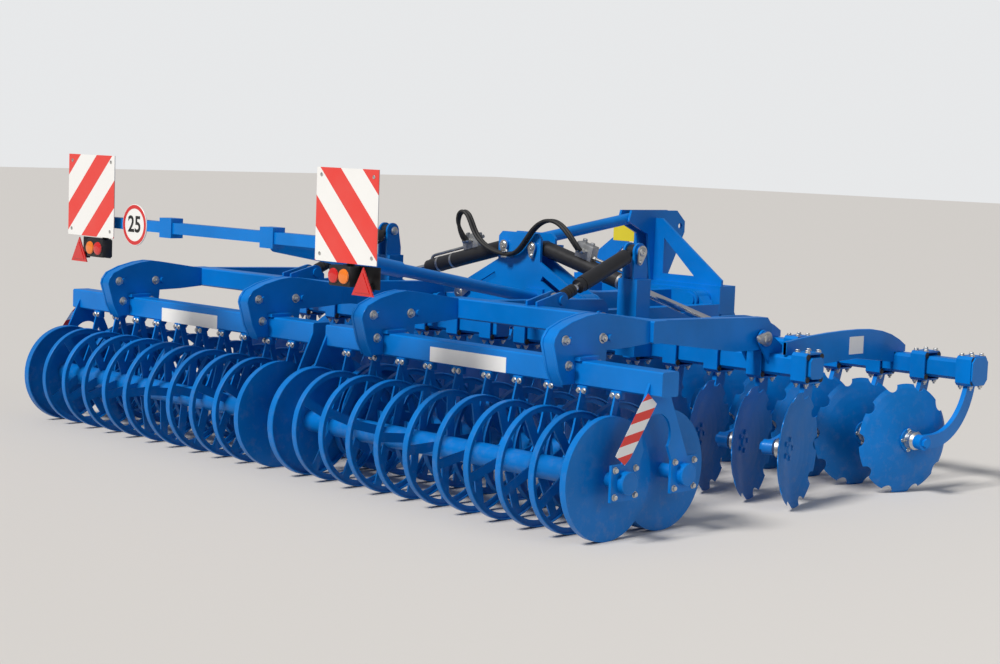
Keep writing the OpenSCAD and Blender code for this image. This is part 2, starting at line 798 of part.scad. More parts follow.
// Roller beam of one wing with side plates, bearings and scrapers
module roller_beam(side) {
    color(paint)
        on_side(side) {
            beam(side_in_x, roller_beam_end, roller_beam_y, roller_beam_z, roller_beam_s, 6);
            axle_plate(side_in_x, side_plate_t);
            axle_plate(side_out_x - side_plate_t, side_plate_t);
            for (y = [0, axle_gap]) {
                bearing(side_in_x - 12, 12, y);
                bearing(side_out_x, 22, y);
            }
            for (k = [0:ring_count - 2])
                scraper(front_ring_x0 + k * ring_pitch, 0, 1);
            for (k = [1:ring_count - 2])
                scraper(ring_x0 + k * ring_pitch, axle_gap, -1);
        }
}

// Scraper for the roller whose axle is at y; dir 1 leans to the rear, -1 to the front
module scraper(x, y, dir) {
    tip = roller_tube_r + 6;
    root_z = roller_beam_z - roller_beam_s / 2 + 2;
    side_plate(x - scraper_t / 2, scraper_t)
        polygon([
            [y + dir * 158, root_z], [y + dir * 128, root_z], [y + dir * 82, ring_r + 150],
            [y + dir * 50, ring_r + 70], [y + dir * tip * 0.6, ring_r + tip * 0.8],
            [y + dir * tip * 0.85, ring_r + tip * 0.6], [y + dir * 80, ring_r + 62],
            [y + dir * 108, ring_r + 140]
        ]);
}

// Tread of one ring and the web inside it
module ring() {
    rotate([0, 90, 0])
        rotate_extrude($fn = 96)
            polygon([
                [ring_r - ring_t - ring_web, -4], [ring_r - ring_t, -4], [ring_r - ring_t, -ring_w / 2],
                [ring_r - 2, -ring_w / 2], [ring_r, -ring_w / 2 + 3], [ring_r, ring_w / 2 - 3],
                [ring_r - 2, ring_w / 2], [ring_r - ring_t, ring_w / 2], [ring_r - ring_t, 4],
                [ring_r - ring_t - ring_web, 4]
            ]);
}

// Open ring with flat spokes
module spoked_ring(x, turn) {
    reach = ring_r - ring_t - ring_web + 3;
    translate([x, 0, 0])
        rotate([turn, 0, 0]) {
            ring();
            for (i = [0:spoke_n - 1])
                rotate([i * 360 / spoke_n, 0, 0])
                    translate([-4, 14 - spoke_w / 2, roller_tube_r - 8])
                        cube([8, spoke_w, reach - roller_tube_r + 8]);
        }
}

// End disc of a roller: a plain plate with the ring's tread
module end_disc(x) {
    bar_x(x - end_plate_t / 2, x + end_plate_t / 2, 0, 0, ring_r);
}

// Roller on its journals: x of its end discs, x of its first ring and how many rings
module roller(end0, end1, first, rings) {
    end_disc(end0);
    end_disc(end1);
    for (k = [0:rings - 1])
        spoked_ring(first + k * ring_pitch, 60 + k * 8);
    bar_x(end0 - 1, end1 + 1, 0, 0, roller_tube_r);
    bar_x(side_in_x + 1, end0, 0, 0, journal_r);
    bar_x(end1, side_out_x + 6, 0, 0, journal_r);
    bar_x(side_in_x + side_plate_t + face_gap, end0, 0, 0, journal_r + 10);
    bar_x(end1, side_out_x - side_plate_t - face_gap, 0, 0, journal_r + 10);
}
module roller_rear(side) {
    color(paint)
        on_side(side)
            translate([0, 0, ring_r])
                roller(ring_x0, ring_x0 + roller_w, ring_x0 + ring_pitch, ring_count - 2);
}
module roller_front(side) {
    color(paint)
        on_side(side)
            translate([0, axle_gap, ring_r])
                roller(ring_x0 + end_inset, ring_x0 + roller_w - end_inset, front_ring_x0, ring_count - 1);
}

// Hydraulic barrel along x from its eye and neck, bored for the rod
module barrel(r, rod_r, length, eye_width, neck, bore_end) {
    difference() {
        union() {
            bar_y(-eye_width / 2, eye_width / 2, 0, 0, eye_r);
            bar_x(eye_r - 6, neck + 4, 0, 0, min(r, eye_width / 2) - 4);
            bar_x(neck, length - 30, 0, 0, r);
            bar_x(length - 31, length, 0, 0, r - 3);
        }
        bar_y(-eye_width, eye_width, 0, 0, pin_r + run_gap);
        bar_x(bore_end, length + 1, 0, 0, rod_r + run_gap);
    }
}

// Rod along x that ends in an eye at the origin
module rod(r, length) {
    bar_x(-length, -eye_r + 8, 0, 0, r);
    bar_y(-eye_w / 2, eye_w / 2, 0, 0, eye_r);
}

// Fold cylinder's barrel with its feed pipe and valve block on top
module fold_barrel(side) {
    color(black)
        on_side(side)
            translate([fold_base_x, fold_y, fold_base_z])
                rotate([0, fold_ang, 0]) {
                    barrel(fold_barrel_r, fold_rod_r, fold_barrel_l, centre_gap - 8, fold_neck, fold_bore_end);
                    translate([70, -24, fold_barrel_r - 6])
                        cube([84, 48, 46]);
                    bar_x(150, fold_barrel_l - 50, 0, fold_barrel_r + 14, 7);
                    bar([fold_barrel_l - 52, 0, fold_barrel_r + 14], [fold_barrel_l - 34, 0, fold_barrel_r - 8], 7);
                }
}
module fold_rod(side) {
    color(chrome)
        on_side(side)
            translate([fold_lug_x, fold_y, fold_lug_z])
                rotate([0, fold_ang, 0])
                    rod(fold_rod_r, fold_rod_l);
}

// Depth cylinder, leaning rearwards and down from its post
module depth_barrel(side) {
    color(black)
        on_side(side)
            translate([depth_x, depth_pin_y, depth_pin_z])
                rotate([0, 0, -90])
                    rotate([0, depth_ang, 0])
                        barrel(depth_barrel_r, depth_rod_r, depth_barrel_l, eye_w, depth_neck, depth_bore_end);
}
module depth_rod(side) {
    color(chrome)
        on_side(side)
            translate([depth_x, depth_lug_y, depth_lug_z])
                rotate([0, 0, -90])
                    rotate([0, depth_ang, 0])
                        rod(depth_rod_r, depth_rod_l);
}

// Outline of the rear centre plates: wing eyes below, cylinder bracket on top
module centre_outline() {
    for (s = [-1, 1])
        translate([s * hinge_x, hinge_z])
            circle(r = hinge_eye_r);
    shoulder = hinge_z + hinge_eye_r;
    corner = 25;
    polygon([
        [-hinge_x, hinge_z - hinge_eye_r], [hinge_x, hinge_z - hinge_eye_r],
        [hinge_x, shoulder], [centre_top_x, centre_top_z - 145],
        [centre_top_x, centre_top_z - corner], [centre_top_x - corner, centre_top_z],
        [-centre_top_x + corner, centre_top_z], [-centre_top_x, centre_top_z - corner],
        [-centre_top_x, centre_top_z - 145], [-hinge_x, shoulder]
    ]);
}

// Frame between the wings: two pairs of hinge plates and two side tubes
module centre_frame() {
    rear_front = centre_y + 2 * plate_t + centre_gap;
    color(paint) {
        for (y = [centre_y, centre_y + plate_t + centre_gap])
            cross_plate(y, plate_t)
                difference() {
                    centre_outline();
                    for (s = [-1, 1])
                        translate([s * 232, hinge_z + 78])
                            rotate(-s * 28)
                                square([150, 30], center = true);
                }
        for (y = [front_plates_y, front_plates_y + plate_t + centre_gap])
            cross_plate(y, plate_t) {
                for (s = [-1, 1])
                    translate([s * hinge_x, hinge_z])
                        circle(r = hinge_eye_r);
                translate([-hinge_x, hinge_z - hinge_eye_r])
                    square([2 * hinge_x, 2 * hinge_eye_r]);
            }
        for (s = [-1, 1]) {
            translate([s * spar_x - spar_s / 2, rear_front - 1, spar_z - spar_s / 2])
                cube([spar_s, front_plates_y - rear_front + 2, spar_s]);
            for (y = [centre_y, front_plates_y]) {
                bar_y(y - pin_head, y + 2 * plate_t + centre_gap, s * hinge_x, hinge_z, hinge_pin_r);
                bar_y(y - pin_head, y, s * hinge_x, hinge_z, hinge_pin_r + 12);
            }
            bar_y(centre_y - pin_head, centre_y + 2 * plate_t + centre_gap + pin_head,
                  s * fold_base_x, fold_base_z, pin_r);
            bar_y(centre_y - pin_head, centre_y, s * fold_base_x, fold_base_z, pin_r + 12);
        }
        translate([-spar_x, front_row_y - 80, spar_z - 30])
            cube([2 * spar_x, 80, 60]);
        hose_blocks();
    }
}

// Cheek plate of a lower link point, bored for the link pin
module link_cheek(x) {
    difference() {
        side_plate(x - plate_t / 2, plate_t)
            polygon([
                [head_y + 24, spar_z - 60], [head_y + head_d, spar_z - 60],
                [head_y + head_d + 30, spar_z - 110], [hitch_y + hitch_nose, hitch_z + 50],
                [hitch_y + hitch_nose, hitch_z - 30], [hitch_y + 20, hitch_z - 50],
                [hitch_y - 60, hitch_z - 40], [head_y + 24, spar_z - 150]
            ]);
        bar_x(x - plate_t, x + plate_t, hitch_y, hitch_z, low_hole_r);
    }
}

// Three-point headstock: cross beam, lower link cheeks, mast and braces
module headstock() {
    top_y = hitch_y - 20;
    top_z = hitch_z + mast_h;
    beam_top = spar_z + head_h / 2;
    beam_low = spar_z - head_h / 2;
    rear_front = centre_y + 2 * plate_t + centre_gap;
    color(paint) {
        translate([-head_x, head_y, beam_low])
            cube([2 * head_x, head_d, head_h]);
        for (s = [-1, 1]) {
            for (e = [-1, 1])
                link_cheek(s * hitch_span / 2 + e * (link_gap + plate_t) / 2);
            difference() {
                side_plate(s * (mast_gap + plate_t) / 2 - plate_t / 2, plate_t)
                    polygon([
                        [head_y, beam_top - 1], [head_y + head_d, beam_top - 1], [top_y + 40, top_z - 35],
                        [top_y + 40, top_z + 25], [top_y - 30, mast_top_z], [head_y - 180, mast_top_z],
                        [head_y - 200, mast_top_z - 60], [head_y - 40, mast_top_z - 130]
                    ]);
                bar_x(-mast_gap, mast_gap, top_y, top_z, top_hole_r);
            }
            cross_plate(head_y + 20, plate_t)
                difference() {
                    polygon([
                        [s * 30, beam_top - 1], [s * (head_x - 10), beam_top - 1],
                        [s * (head_x - 10), beam_top + 30], [s * 90, mast_top_z - 40], [s * 30, mast_top_z - 40]
                    ]);
                    polygon([
                        [s * 110, beam_top + 40], [s * 330, beam_top + 40], [s * 110, beam_top + 235]
                    ]);
                }
        }
        difference() {
            bar([0, rear_front - 30, centre_top_z - 44], [0, head_y - 150, mast_top_z - 45], 30);
            translate([-60, rear_front - 100, centre_top_z - 140])
                cube([120, 100, 240]);
        }
    }
}

// Light bar with its clamps and the boom that carries it
module light_carrier() {
    block = 90;
    sleeve_end = 380;
    a = [boom_x, -bar_back + 20, bar_z - 25];
    b = [boom_foot_x, centre_y - 6, boom_foot_z];
    share = (sleeve_end - a.y) / (b.y - a.y);
    color(paint) {
        translate([-board_x - 20, -bar_back - bar_s / 2, bar_z - bar_s / 2])
            cube([2 * board_x + 40, bar_s, bar_s]);
        for (s = [-1, 1])
            translate([s * boom_x - block / 2, -bar_back - bar_s / 2 - 8, bar_z - block / 2])
                cube([block, bar_s + 16, block]);
        difference() {
            union() {
                bar(a, b, boom_r);
                bar(a, a + (b - a) * share, sleeve_r);
            }
            translate([-500, centre_y, 0])
                cube([1000, 200, 1500]);
        }
        translate([boom_foot_x - 60, centre_y - plate_t, boom_foot_z - 50])
            cube([120, plate_t, 100]);
    }
}

// Striped boards with the strips that hold them to the bar
module warning_boards() {
    strip = board_back - board_t - bar_back - bar_s / 2;
    color("white")
        for (s = [-1, 1]) {
            translate([s * board_x - board_s / 2, -board_back, board_z])
                cube([board_s, board_t, board_s]);
            translate([s * board_x - 20, -board_back + board_t, board_z + 15])
                cube([40, strip, board_s - 40]);
        }
}

// Lamp box below each board, with two lenses and a triangular reflector
module rear_lamps() {
    box_z = 935;
    box_h = 95;
    box_w = 200;
    box_d = 70;
    box_x = board_x - 25;
    bar_low = bar_z - bar_s / 2;
    color("firebrick")
        for (s = [-1, 1]) {
            translate([s * box_x - box_w / 2, -board_back, box_z])
                cube([box_w, box_d, box_h]);
            for (e = [-1, 1])
                bar_y(-board_back - lens_h, -board_back + 1, s * box_x + e * 48, box_z + box_h / 2, 38);
            translate([s * board_x - 12, -bar_back - bar_s / 2, box_z + box_h - 1])
                cube([24, bar_s / 2, bar_low - box_z - box_h + 1]);
            translate([s * (box_x - box_w / 2 - 80), 0, 0])
                cross_plate(-board_back, 8)
                    polygon([[-78, box_z - 10], [78, box_z - 10], [0, box_z + 125]]);
            translate([s > 0 ? box_x - box_w / 2 - 90 : -box_x + box_w / 2 - 5, -board_back + 7, box_z + 20])
                cube([95, 8, 30]);
        }
}

// Round speed disc on the bar
module speed_disc() {
    t = 3;
    color("white")
        bar_y(-bar_back - bar_s / 2 - t, -bar_back - bar_s / 2, speed_x, speed_z, speed_r);
}

// Tube swept along points, its rings square to the path
module tube(points, r) {
    n = len(points);
    sides = 8;
    rings = [for (i = [0:n - 1])
        let (
            d = points[min(i + 1, n - 1)] - points[max(i - 1, 0)],
            t = d / norm(d),
            u = cross(t, [0, 1, 0]) / norm(cross(t, [0, 1, 0])),
            v = cross(t, u)
        )
        for (j = [0:sides - 1])
            points[i] + r * (cos(j * 360 / sides) * u + sin(j * 360 / sides) * v)
    ];
    polyhedron(rings, concat(
        [[for (j = [0:sides - 1]) j]],
        [for (i = [0:n - 2], j = [0:sides - 1]) [
            i * sides + j, (i + 1) * sides + j,
            (i + 1) * sides + (j + 1) % sides, i * sides + (j + 1) % sides
        ]],
        [[for (j = [sides - 1:-1:0]) (n - 1) * sides + j]]
    ));
}

// Two parallel hoses over the centre bracket, with the block that they leave
module hoses() {
    y0 = centre_y + 2 * plate_t + centre_gap;
    color(black)
        for (i = [0, 1]) {
            points = [for (p = HOSE_PTS) [p.x, y0 + 24 + i * hose_gap + p.y, p.z]];
            tube(points, hose_r);
        }
}

// Connecting blocks on the centre bracket for the hoses
module hose_blocks() {
    y0 = centre_y + 2 * plate_t + centre_gap;
    for (p = [HOSE_PTS[0], HOSE_PTS[len(HOSE_PTS) - 1]])
        translate([p.x - 18, y0 - 1, p.z - 36])
            cube([36, 24 + hose_gap + 18, 36 - face_gap]);
}

at_origin() centre_frame();
at_origin() headstock();
at_origin() light_carrier();
at_origin() warning_boards();
at_origin() rear_lamps();
at_origin() speed_disc();
at_origin() hoses();
for (side = [1, -1]) {
    tag = side > 0 ? "_r" : "_l";
    at_origin() wing_frame(side);
    at_origin() disc_arms(side);
    at_origin() roller_frame(side);
    at_origin() roller_beam(side);
    at_origin() roller_rear(side);
    at_origin() roller_front(side);
    at_origin() fold_barrel(side);
    at_origin() fold_rod(side);
    at_origin() depth_barrel(side);
    at_origin() depth_rod(side);
}
for (row = ROWS, k = [0:disc_count - 1])
    at_origin() disc(row, k);
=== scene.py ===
import json
import math

import bmesh
import bpy
from mathutils import Matrix, Vector


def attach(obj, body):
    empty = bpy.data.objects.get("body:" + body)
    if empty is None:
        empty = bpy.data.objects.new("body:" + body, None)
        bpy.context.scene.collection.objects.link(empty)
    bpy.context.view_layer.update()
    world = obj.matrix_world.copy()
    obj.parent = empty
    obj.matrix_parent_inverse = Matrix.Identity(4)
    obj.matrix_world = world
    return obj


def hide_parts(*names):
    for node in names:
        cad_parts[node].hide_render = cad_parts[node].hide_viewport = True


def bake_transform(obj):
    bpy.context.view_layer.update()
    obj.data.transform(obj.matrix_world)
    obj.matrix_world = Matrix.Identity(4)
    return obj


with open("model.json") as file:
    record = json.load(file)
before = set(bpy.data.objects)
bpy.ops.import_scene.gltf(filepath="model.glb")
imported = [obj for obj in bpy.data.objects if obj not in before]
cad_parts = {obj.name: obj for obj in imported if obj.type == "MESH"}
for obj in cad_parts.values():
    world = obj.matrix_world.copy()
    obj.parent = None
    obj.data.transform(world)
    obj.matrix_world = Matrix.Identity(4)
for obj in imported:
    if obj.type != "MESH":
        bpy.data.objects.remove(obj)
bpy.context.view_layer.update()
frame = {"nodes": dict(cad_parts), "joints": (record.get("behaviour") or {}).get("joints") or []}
nodes = frame["nodes"]


# Frames, beams and arms
# Square tube and plate of structural steel, welded, shot-blasted and coated in one bright blue
# two-pack paint. The coat is glossy, a little uneven, and carries a film of yard dust low down.
WINGS = {"r": 1, "l": -1}
ROLLED_EDGE, CUT_EDGE = 0.0025, 0.002


def paint_coat(name, colour, dust=0.12, rough=0.26):
    """Glossy sprayed paint: slight tone drift, fine orange peel, and dust that thickens downwards."""
    mat = bpy.data.materials.new(name)
    mat.use_nodes = True
    tree = mat.node_tree
    made, join = tree.nodes.new, tree.links.new
    shader = tree.nodes["Principled BSDF"]
    where = made("ShaderNodeTexCoord")
    drift = made("ShaderNodeTexNoise")
    drift.inputs["Scale"].default_value = 3.0
    drift.inputs["Detail"].default_value = 4.0
    join(where.outputs["Object"], drift.inputs["Vector"])
    tone = made("ShaderNodeValToRGB")
    tone.color_ramp.elements[0].position = 0.3
    tone.color_ramp.elements[0].color = [c * 0.82 for c in colour] + [1]
    tone.color_ramp.elements[1].position = 0.7
    tone.color_ramp.elements[1].color = [min(1, c * 1.12) for c in colour] + [1]
    join(drift.outputs["Fac"], tone.inputs["Fac"])
    specks = made("ShaderNodeTexNoise")
    specks.inputs["Scale"].default_value = 22.0
    specks.inputs["Detail"].default_value = 8.0
    specks.inputs["Roughness"].default_value = 0.7
    join(where.outputs["Object"], specks.inputs["Vector"])
    parts = made("ShaderNodeSeparateXYZ")
    join(where.outputs["Object"], parts.inputs["Vector"])
    low = made("ShaderNodeMapRange")
    low.inputs["From Min"].default_value = 0.55
    low.inputs["From Max"].default_value = 0.0
    low.inputs["To Min"].default_value = 0.15
    low.inputs["To Max"].default_value = 1.0
    join(parts.outputs["Z"], low.inputs["Value"])
    patches = made("ShaderNodeMapRange")
    patches.inputs["From Min"].default_value = 0.5
    patches.inputs["From Max"].default_value = 0.75
    patches.inputs["To Max"].default_value = dust
    join(specks.outputs["Fac"], patches.inputs["Value"])
    film = made("ShaderNodeMath")
    film.operation = "MULTIPLY"
    join(low.outputs["Result"], film.inputs[0])
    join(patches.outputs["Result"], film.inputs[1])
    mix = made("ShaderNodeMix")
    mix.data_type = "RGBA"
    mix.inputs["B"].default_value = (0.33, 0.29, 0.23, 1)
    join(film.outputs["Value"], mix.inputs["Factor"])
    join(tone.outputs["Color"], mix.inputs["A"])
    join(mix.outputs["Result"], shader.inputs["Base Color"])
    gloss = made("ShaderNodeMapRange")
    gloss.inputs["To Min"].default_value = rough
    gloss.inputs["To Max"].default_value = min(1, rough + 0.22)
    join(specks.outputs["Fac"], gloss.inputs["Value"])
    join(gloss.outputs["Result"], shader.inputs["Roughness"])
    peel = made("ShaderNodeTexNoise")
    peel.inputs["Scale"].default_value = 240.0
    join(where.outputs["Object"], peel.inputs["Vector"])
    bump = made("ShaderNodeBump")
    bump.inputs["Strength"].default_value = 0.06
    bump.inputs["Distance"].default_value = 0.001
    join(peel.outputs["Fac"], bump.inputs["Height"])
    join(bump.outputs["Normal"], shader.inputs["Normal"])
    shader.inputs["Specular IOR Level"].default_value = 0.3
    shader.inputs["Specular Tint"].default_value = (0.45, 0.72, 1.0, 1)
    shader.inputs["Coat Weight"].default_value = 0.1
    shader.inputs["Coat Roughness"].default_value = 0.1
    return mat


def finish_node(node, mat, edge=0.0):
    """Gives a CAD node its finish, and a small rounded edge where its sheet or tube has one."""
    piece = nodes[node]
    piece.data.materials.clear()
    piece.data.materials.append(mat)
    if edge:
        bevel = piece.modifiers.new("rolled edge", "BEVEL")
        bevel.width = edge
        bevel.segments = 2
        bevel.limit_method = "ANGLE"
        bevel.angle_limit = math.radians(50)
        bevel.harden_normals = False


blue = paint_coat("bright blue paint", (0.0008, 0.17, 0.57))
for fixed in ("centre_frame", "headstock", "light_carrier"):
    finish_node(fixed, blue, ROLLED_EDGE)
for wing in WINGS:
    finish_node(f"wing_frame_{wing}", blue, ROLLED_EDGE)
    finish_node(f"disc_arms_{wing}", blue)
    finish_node(f"roller_frame_{wing}", blue, ROLLED_EDGE)
    finish_node(f"roller_beam_{wing}", blue, ROLLED_EDGE)
REAR_AXLE_Y = -1.1065


def spot(x, y, z):
    """Place whose y is counted forwards from the rear roller's axle."""
    return Vector((x, y + REAR_AXLE_Y, z))


def join_loops(bm, pairs):
    """Faces between the loops of each pair."""
    for low, high in pairs:
        for i in range(len(low)):
            j = (i + 1) % len(low)
            bm.faces.new((low[i], low[j], high[j], high[i]))


def slab(bm, outline, out):
    """Flat plate: a closed outline of places, as thick as the vector out."""
    low = [bm.verts.new(p) for p in outline]
    high = [bm.verts.new(p + Vector(out)) for p in outline]
    bm.faces.new(low[::-1])
    bm.faces.new(high)
    join_loops(bm, [(low, high)])


def as_piece(bm, name, mat, body, sharp=35, edge=0.0):
    """Turns a bmesh into a piece that rides on a body, smooth but for its sharp edges."""
    bmesh.ops.recalc_face_normals(bm, faces=bm.faces)
    for line in bm.edges:
        line.smooth = line.calc_face_angle(0) < math.radians(sharp)
    for face in bm.faces:
        face.smooth = True
    mesh = bpy.data.meshes.new(name)
    bm.to_mesh(mesh)
    bm.free()
    mesh.materials.append(mat)
    piece = bpy.data.objects.new(name, mesh)
    bpy.context.collection.objects.link(piece)
    if edge:
        bevel = piece.modifiers.new("rolled edge", "BEVEL")
        bevel.width = edge
        bevel.segments = 2
        bevel.angle_limit = math.radians(40)
    if body:
        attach(piece, body)
    return piece


# The front beam of each wing closes with an eight-sided plate.
FRONT_BEAM_YZ = (2.345, 0.565)
BEAM_END_X, END_PLATE, END_CUT, END_THICK = 2.1665, 0.068, 0.026, 0.0085
for wing, side in WINGS.items():
    bm = bmesh.new()
    ring = ((END_PLATE, END_PLATE - END_CUT), (END_PLATE - END_CUT, END_PLATE))
    rim = list(ring) + [(-b, a) for a, b in ring] + [(-a, -b) for a, b in ring]
    rim += [(b, -a) for a, b in ring]
    beam_y, beam_z = FRONT_BEAM_YZ
    slab(bm, [spot(side * BEAM_END_X, beam_y + a, beam_z + b) for a, b in rim], (side * END_THICK, 0, 0))
    as_piece(bm, f"beam_end_{wing}", blue, f"wing_{wing}", edge=CUT_EDGE)


# Humped arms
# Two burned-out plates straddle the roller beam and carry it from the cross beam. A rolled strap
# closes their back, and four bolts with nuts hold them apart.
HUMP_BACK = (
    (0.062, 0.582), (0.03, 0.64), (-0.004, 0.75), (0.002, 0.775), (0.028, 0.808), (0.1, 0.838),
    (0.19, 0.86), (0.255, 0.868), (0.31, 0.864),
)
HUMP_FRONT = (
    (0.588, 0.823), (0.588, 0.727), (0.45, 0.716), (0.318, 0.712), (0.312, 0.64), (0.298, 0.592),
    (0.2305, 0.592), (0.2305, 0.6805), (0.1295, 0.6805), (0.1295, 0.582),
)
HUMP_BOLTS = ((0.062, 0.764), (0.288, 0.764), (0.088, 0.659), (0.264, 0.659))
HUMP_X = (1.589, 0.415)
HUMP_OUT, HUMP_THICK = 0.0385, 0.013
STRAP_HALF, STRAP_FACE, STRAP_BACK = 0.027, (0.004, -0.002), (0.015, -0.013)
for wing, side in WINGS.items():
    bm = bmesh.new()
    for x in HUMP_X:
        for inner in (-HUMP_OUT, HUMP_OUT - HUMP_THICK):
            outline = [spot(side * x + inner, y, z) for y, z in HUMP_BACK + HUMP_FRONT]
            slab(bm, outline, (HUMP_THICK, 0, 0))
        strap = [(y + STRAP_FACE[0], z + STRAP_FACE[1]) for y, z in HUMP_BACK]
        strap += [(y + STRAP_BACK[0], z + STRAP_BACK[1]) for y, z in reversed(HUMP_BACK)]
        slab(bm, [spot(side * x - STRAP_HALF, y, z) for y, z in strap], (2 * STRAP_HALF, 0, 0))
    as_piece(bm, f"humped_arms_{wing}", blue, f"roller_unit_{wing}", edge=CUT_EDGE)


# Arched plates
# Two plates a wing, burned out of thick sheet in a smooth arch, are welded over the rear and front
# disc beams and painted with them.
ARCH_X = {"r": (1.72, 0.97), "l": (1.78, 1.03)}
ARCH_HALF = 0.0095
ARCH = (
    (1.422, 0.643), (1.422, 0.702), (1.5, 0.713), (1.62, 0.724), (1.75, 0.732), (1.88, 0.7365),
    (2.0, 0.7375), (2.1, 0.734), (2.19, 0.722), (2.27, 0.702), (2.34, 0.674), (2.393, 0.645),
    (2.393, 0.613), (2.297, 0.613), (2.297, 0.566), (1.98, 0.6), (1.518, 0.58), (1.518, 0.643),
)
for wing, side in WINGS.items():
    bm = bmesh.new()
    for x in ARCH_X[wing]:
        slab(bm, [spot(side * x - ARCH_HALF, y, z) for y, z in ARCH], (2 * ARCH_HALF, 0, 0))
    as_piece(bm, f"arched_plates_{wing}", blue, f"wing_{wing}", edge=CUT_EDGE)


# Pivot pins
# Turned steel pins, zinc plated, pushed through the ears of hinges and cylinders. A pear-shaped
# keeper plate welded to the head is held by one screw, so that the pin can't turn in its ears.
def smooth_finish(name, colour, rough, metallic=1.0, scratch=0.05, drift=0.25):
    """Plating, bare metal, rubber or film: one colour with cloudy marks and uneven gloss."""
    mat = bpy.data.materials.new(name)
    mat.use_nodes = True
    tree = mat.node_tree
    made, join = tree.nodes.new, tree.links.new
    shader = tree.nodes["Principled BSDF"]
    shader.inputs["Metallic"].default_value = metallic
    where = made("ShaderNodeTexCoord")
    cloud = made("ShaderNodeTexNoise")
    cloud.inputs["Scale"].default_value = 30.0
    cloud.inputs["Detail"].default_value = 6.0
    join(where.outputs["Object"], cloud.inputs["Vector"])
    tone = made("ShaderNodeValToRGB")
    tone.color_ramp.elements[0].color = [c * (1 - drift) for c in colour] + [1]
    tone.color_ramp.elements[1].color = [min(1, c * (1 + drift / 2)) for c in colour] + [1]
    join(cloud.outputs["Fac"], tone.inputs["Fac"])
    join(tone.outputs["Color"], shader.inputs["Base Color"])
    gloss = made("ShaderNodeMapRange")
    gloss.inputs["To Min"].default_value = max(0.04, rough - 0.08)
    gloss.inputs["To Max"].default_value = rough + 0.12
    join(cloud.outputs["Fac"], gloss.inputs["Value"])
    join(gloss.outputs["Result"], shader.inputs["Roughness"])
    bump = made("ShaderNodeBump")
    bump.inputs["Strength"].default_value = scratch
    bump.inputs["Distance"].default_value = 0.001
    join(cloud.outputs["Fac"], bump.inputs["Height"])
    join(bump.outputs["Normal"], shader.inputs["Normal"])
    return mat


zinc = smooth_finish("zinc plated steel", (0.62, 0.62, 0.6), 0.36)


def circles(bm, at, out, section, sides, spin=0.0):
    """Loops of vertices round out: section lists (distance along out, radius)."""
    place = Matrix.Translation(Vector(at)) @ Vector(out).to_track_quat("Z", "Y").to_matrix().to_4x4()
    return [
        [
            bm.verts.new(place @ Vector((
                radius * math.cos(math.tau * i / sides + spin),
                radius * math.sin(math.tau * i / sides + spin),
                along,
            )))
            for i in range(sides)
        ]
        for along, radius in section
    ]


def turned(bm, at, out, profile, sides=24, spin=0.0):
    """Solid of revolution: profile lists (distance along out, radius), closed at both ends."""
    loops = circles(bm, at, out, profile, sides, spin)
    join_loops(bm, zip(loops, loops[1:]))
    bm.faces.new(loops[0][::-1])
    bm.faces.new(loops[-1])


def hex_bolt(bm, at, out, across=0.024, head=0.011, thread=0.0):
    """Washer, chamfered hexagon head and, if asked, the thread's end standing out of a nut."""
    radius = across / math.sqrt(3)
    turned(bm, at, out, [(-0.001, radius * 1.25), (0.0022, radius * 1.25), (0.003, radius * 1.18)], 20)
    turned(bm, at, out, [
        (0.002, radius * 0.96), (0.0028, radius), (head - 0.002, radius), (head, radius * 0.84),
    ], 6, spin=0.3)
    if thread:
        turned(bm, at, out, [(head - 0.001, radius * 0.52), (head + thread - 0.0015, radius * 0.52),
                             (head + thread, radius * 0.42)], 12)


def keeper(bm, at, out, tail, radius, reach, thick=0.007):
    """Pin head with a pear-shaped plate towards `tail` and the screw that holds it."""
    at, out, tail = Vector(at), Vector(out).normalized(), Vector(tail).normalized()
    side = out.cross(tail)
    small = radius * 0.5
    lean = math.acos((radius - small) / reach)
    rim = [at + radius * (math.cos(a) * tail + math.sin(a) * side)
           for a in (lean + (math.tau - 2 * lean) * i / 20 for i in range(21))]
    rim += [at + reach * tail + small * (math.cos(a) * tail + math.sin(a) * side)
            for a in (-lean + 2 * lean * i / 8 for i in range(9))]
    slab(bm, rim, thick * out)
    turned(bm, at + (thick - 0.001) * out, out,
           [(0, radius * 0.72), (0.004, radius * 0.72), (0.006, radius * 0.62), (0.0062, radius * 0.3),
            (0.003, radius * 0.24)])
    hex_bolt(bm, at + reach * tail + thick * out, out, across=small * 1.1, head=0.008)


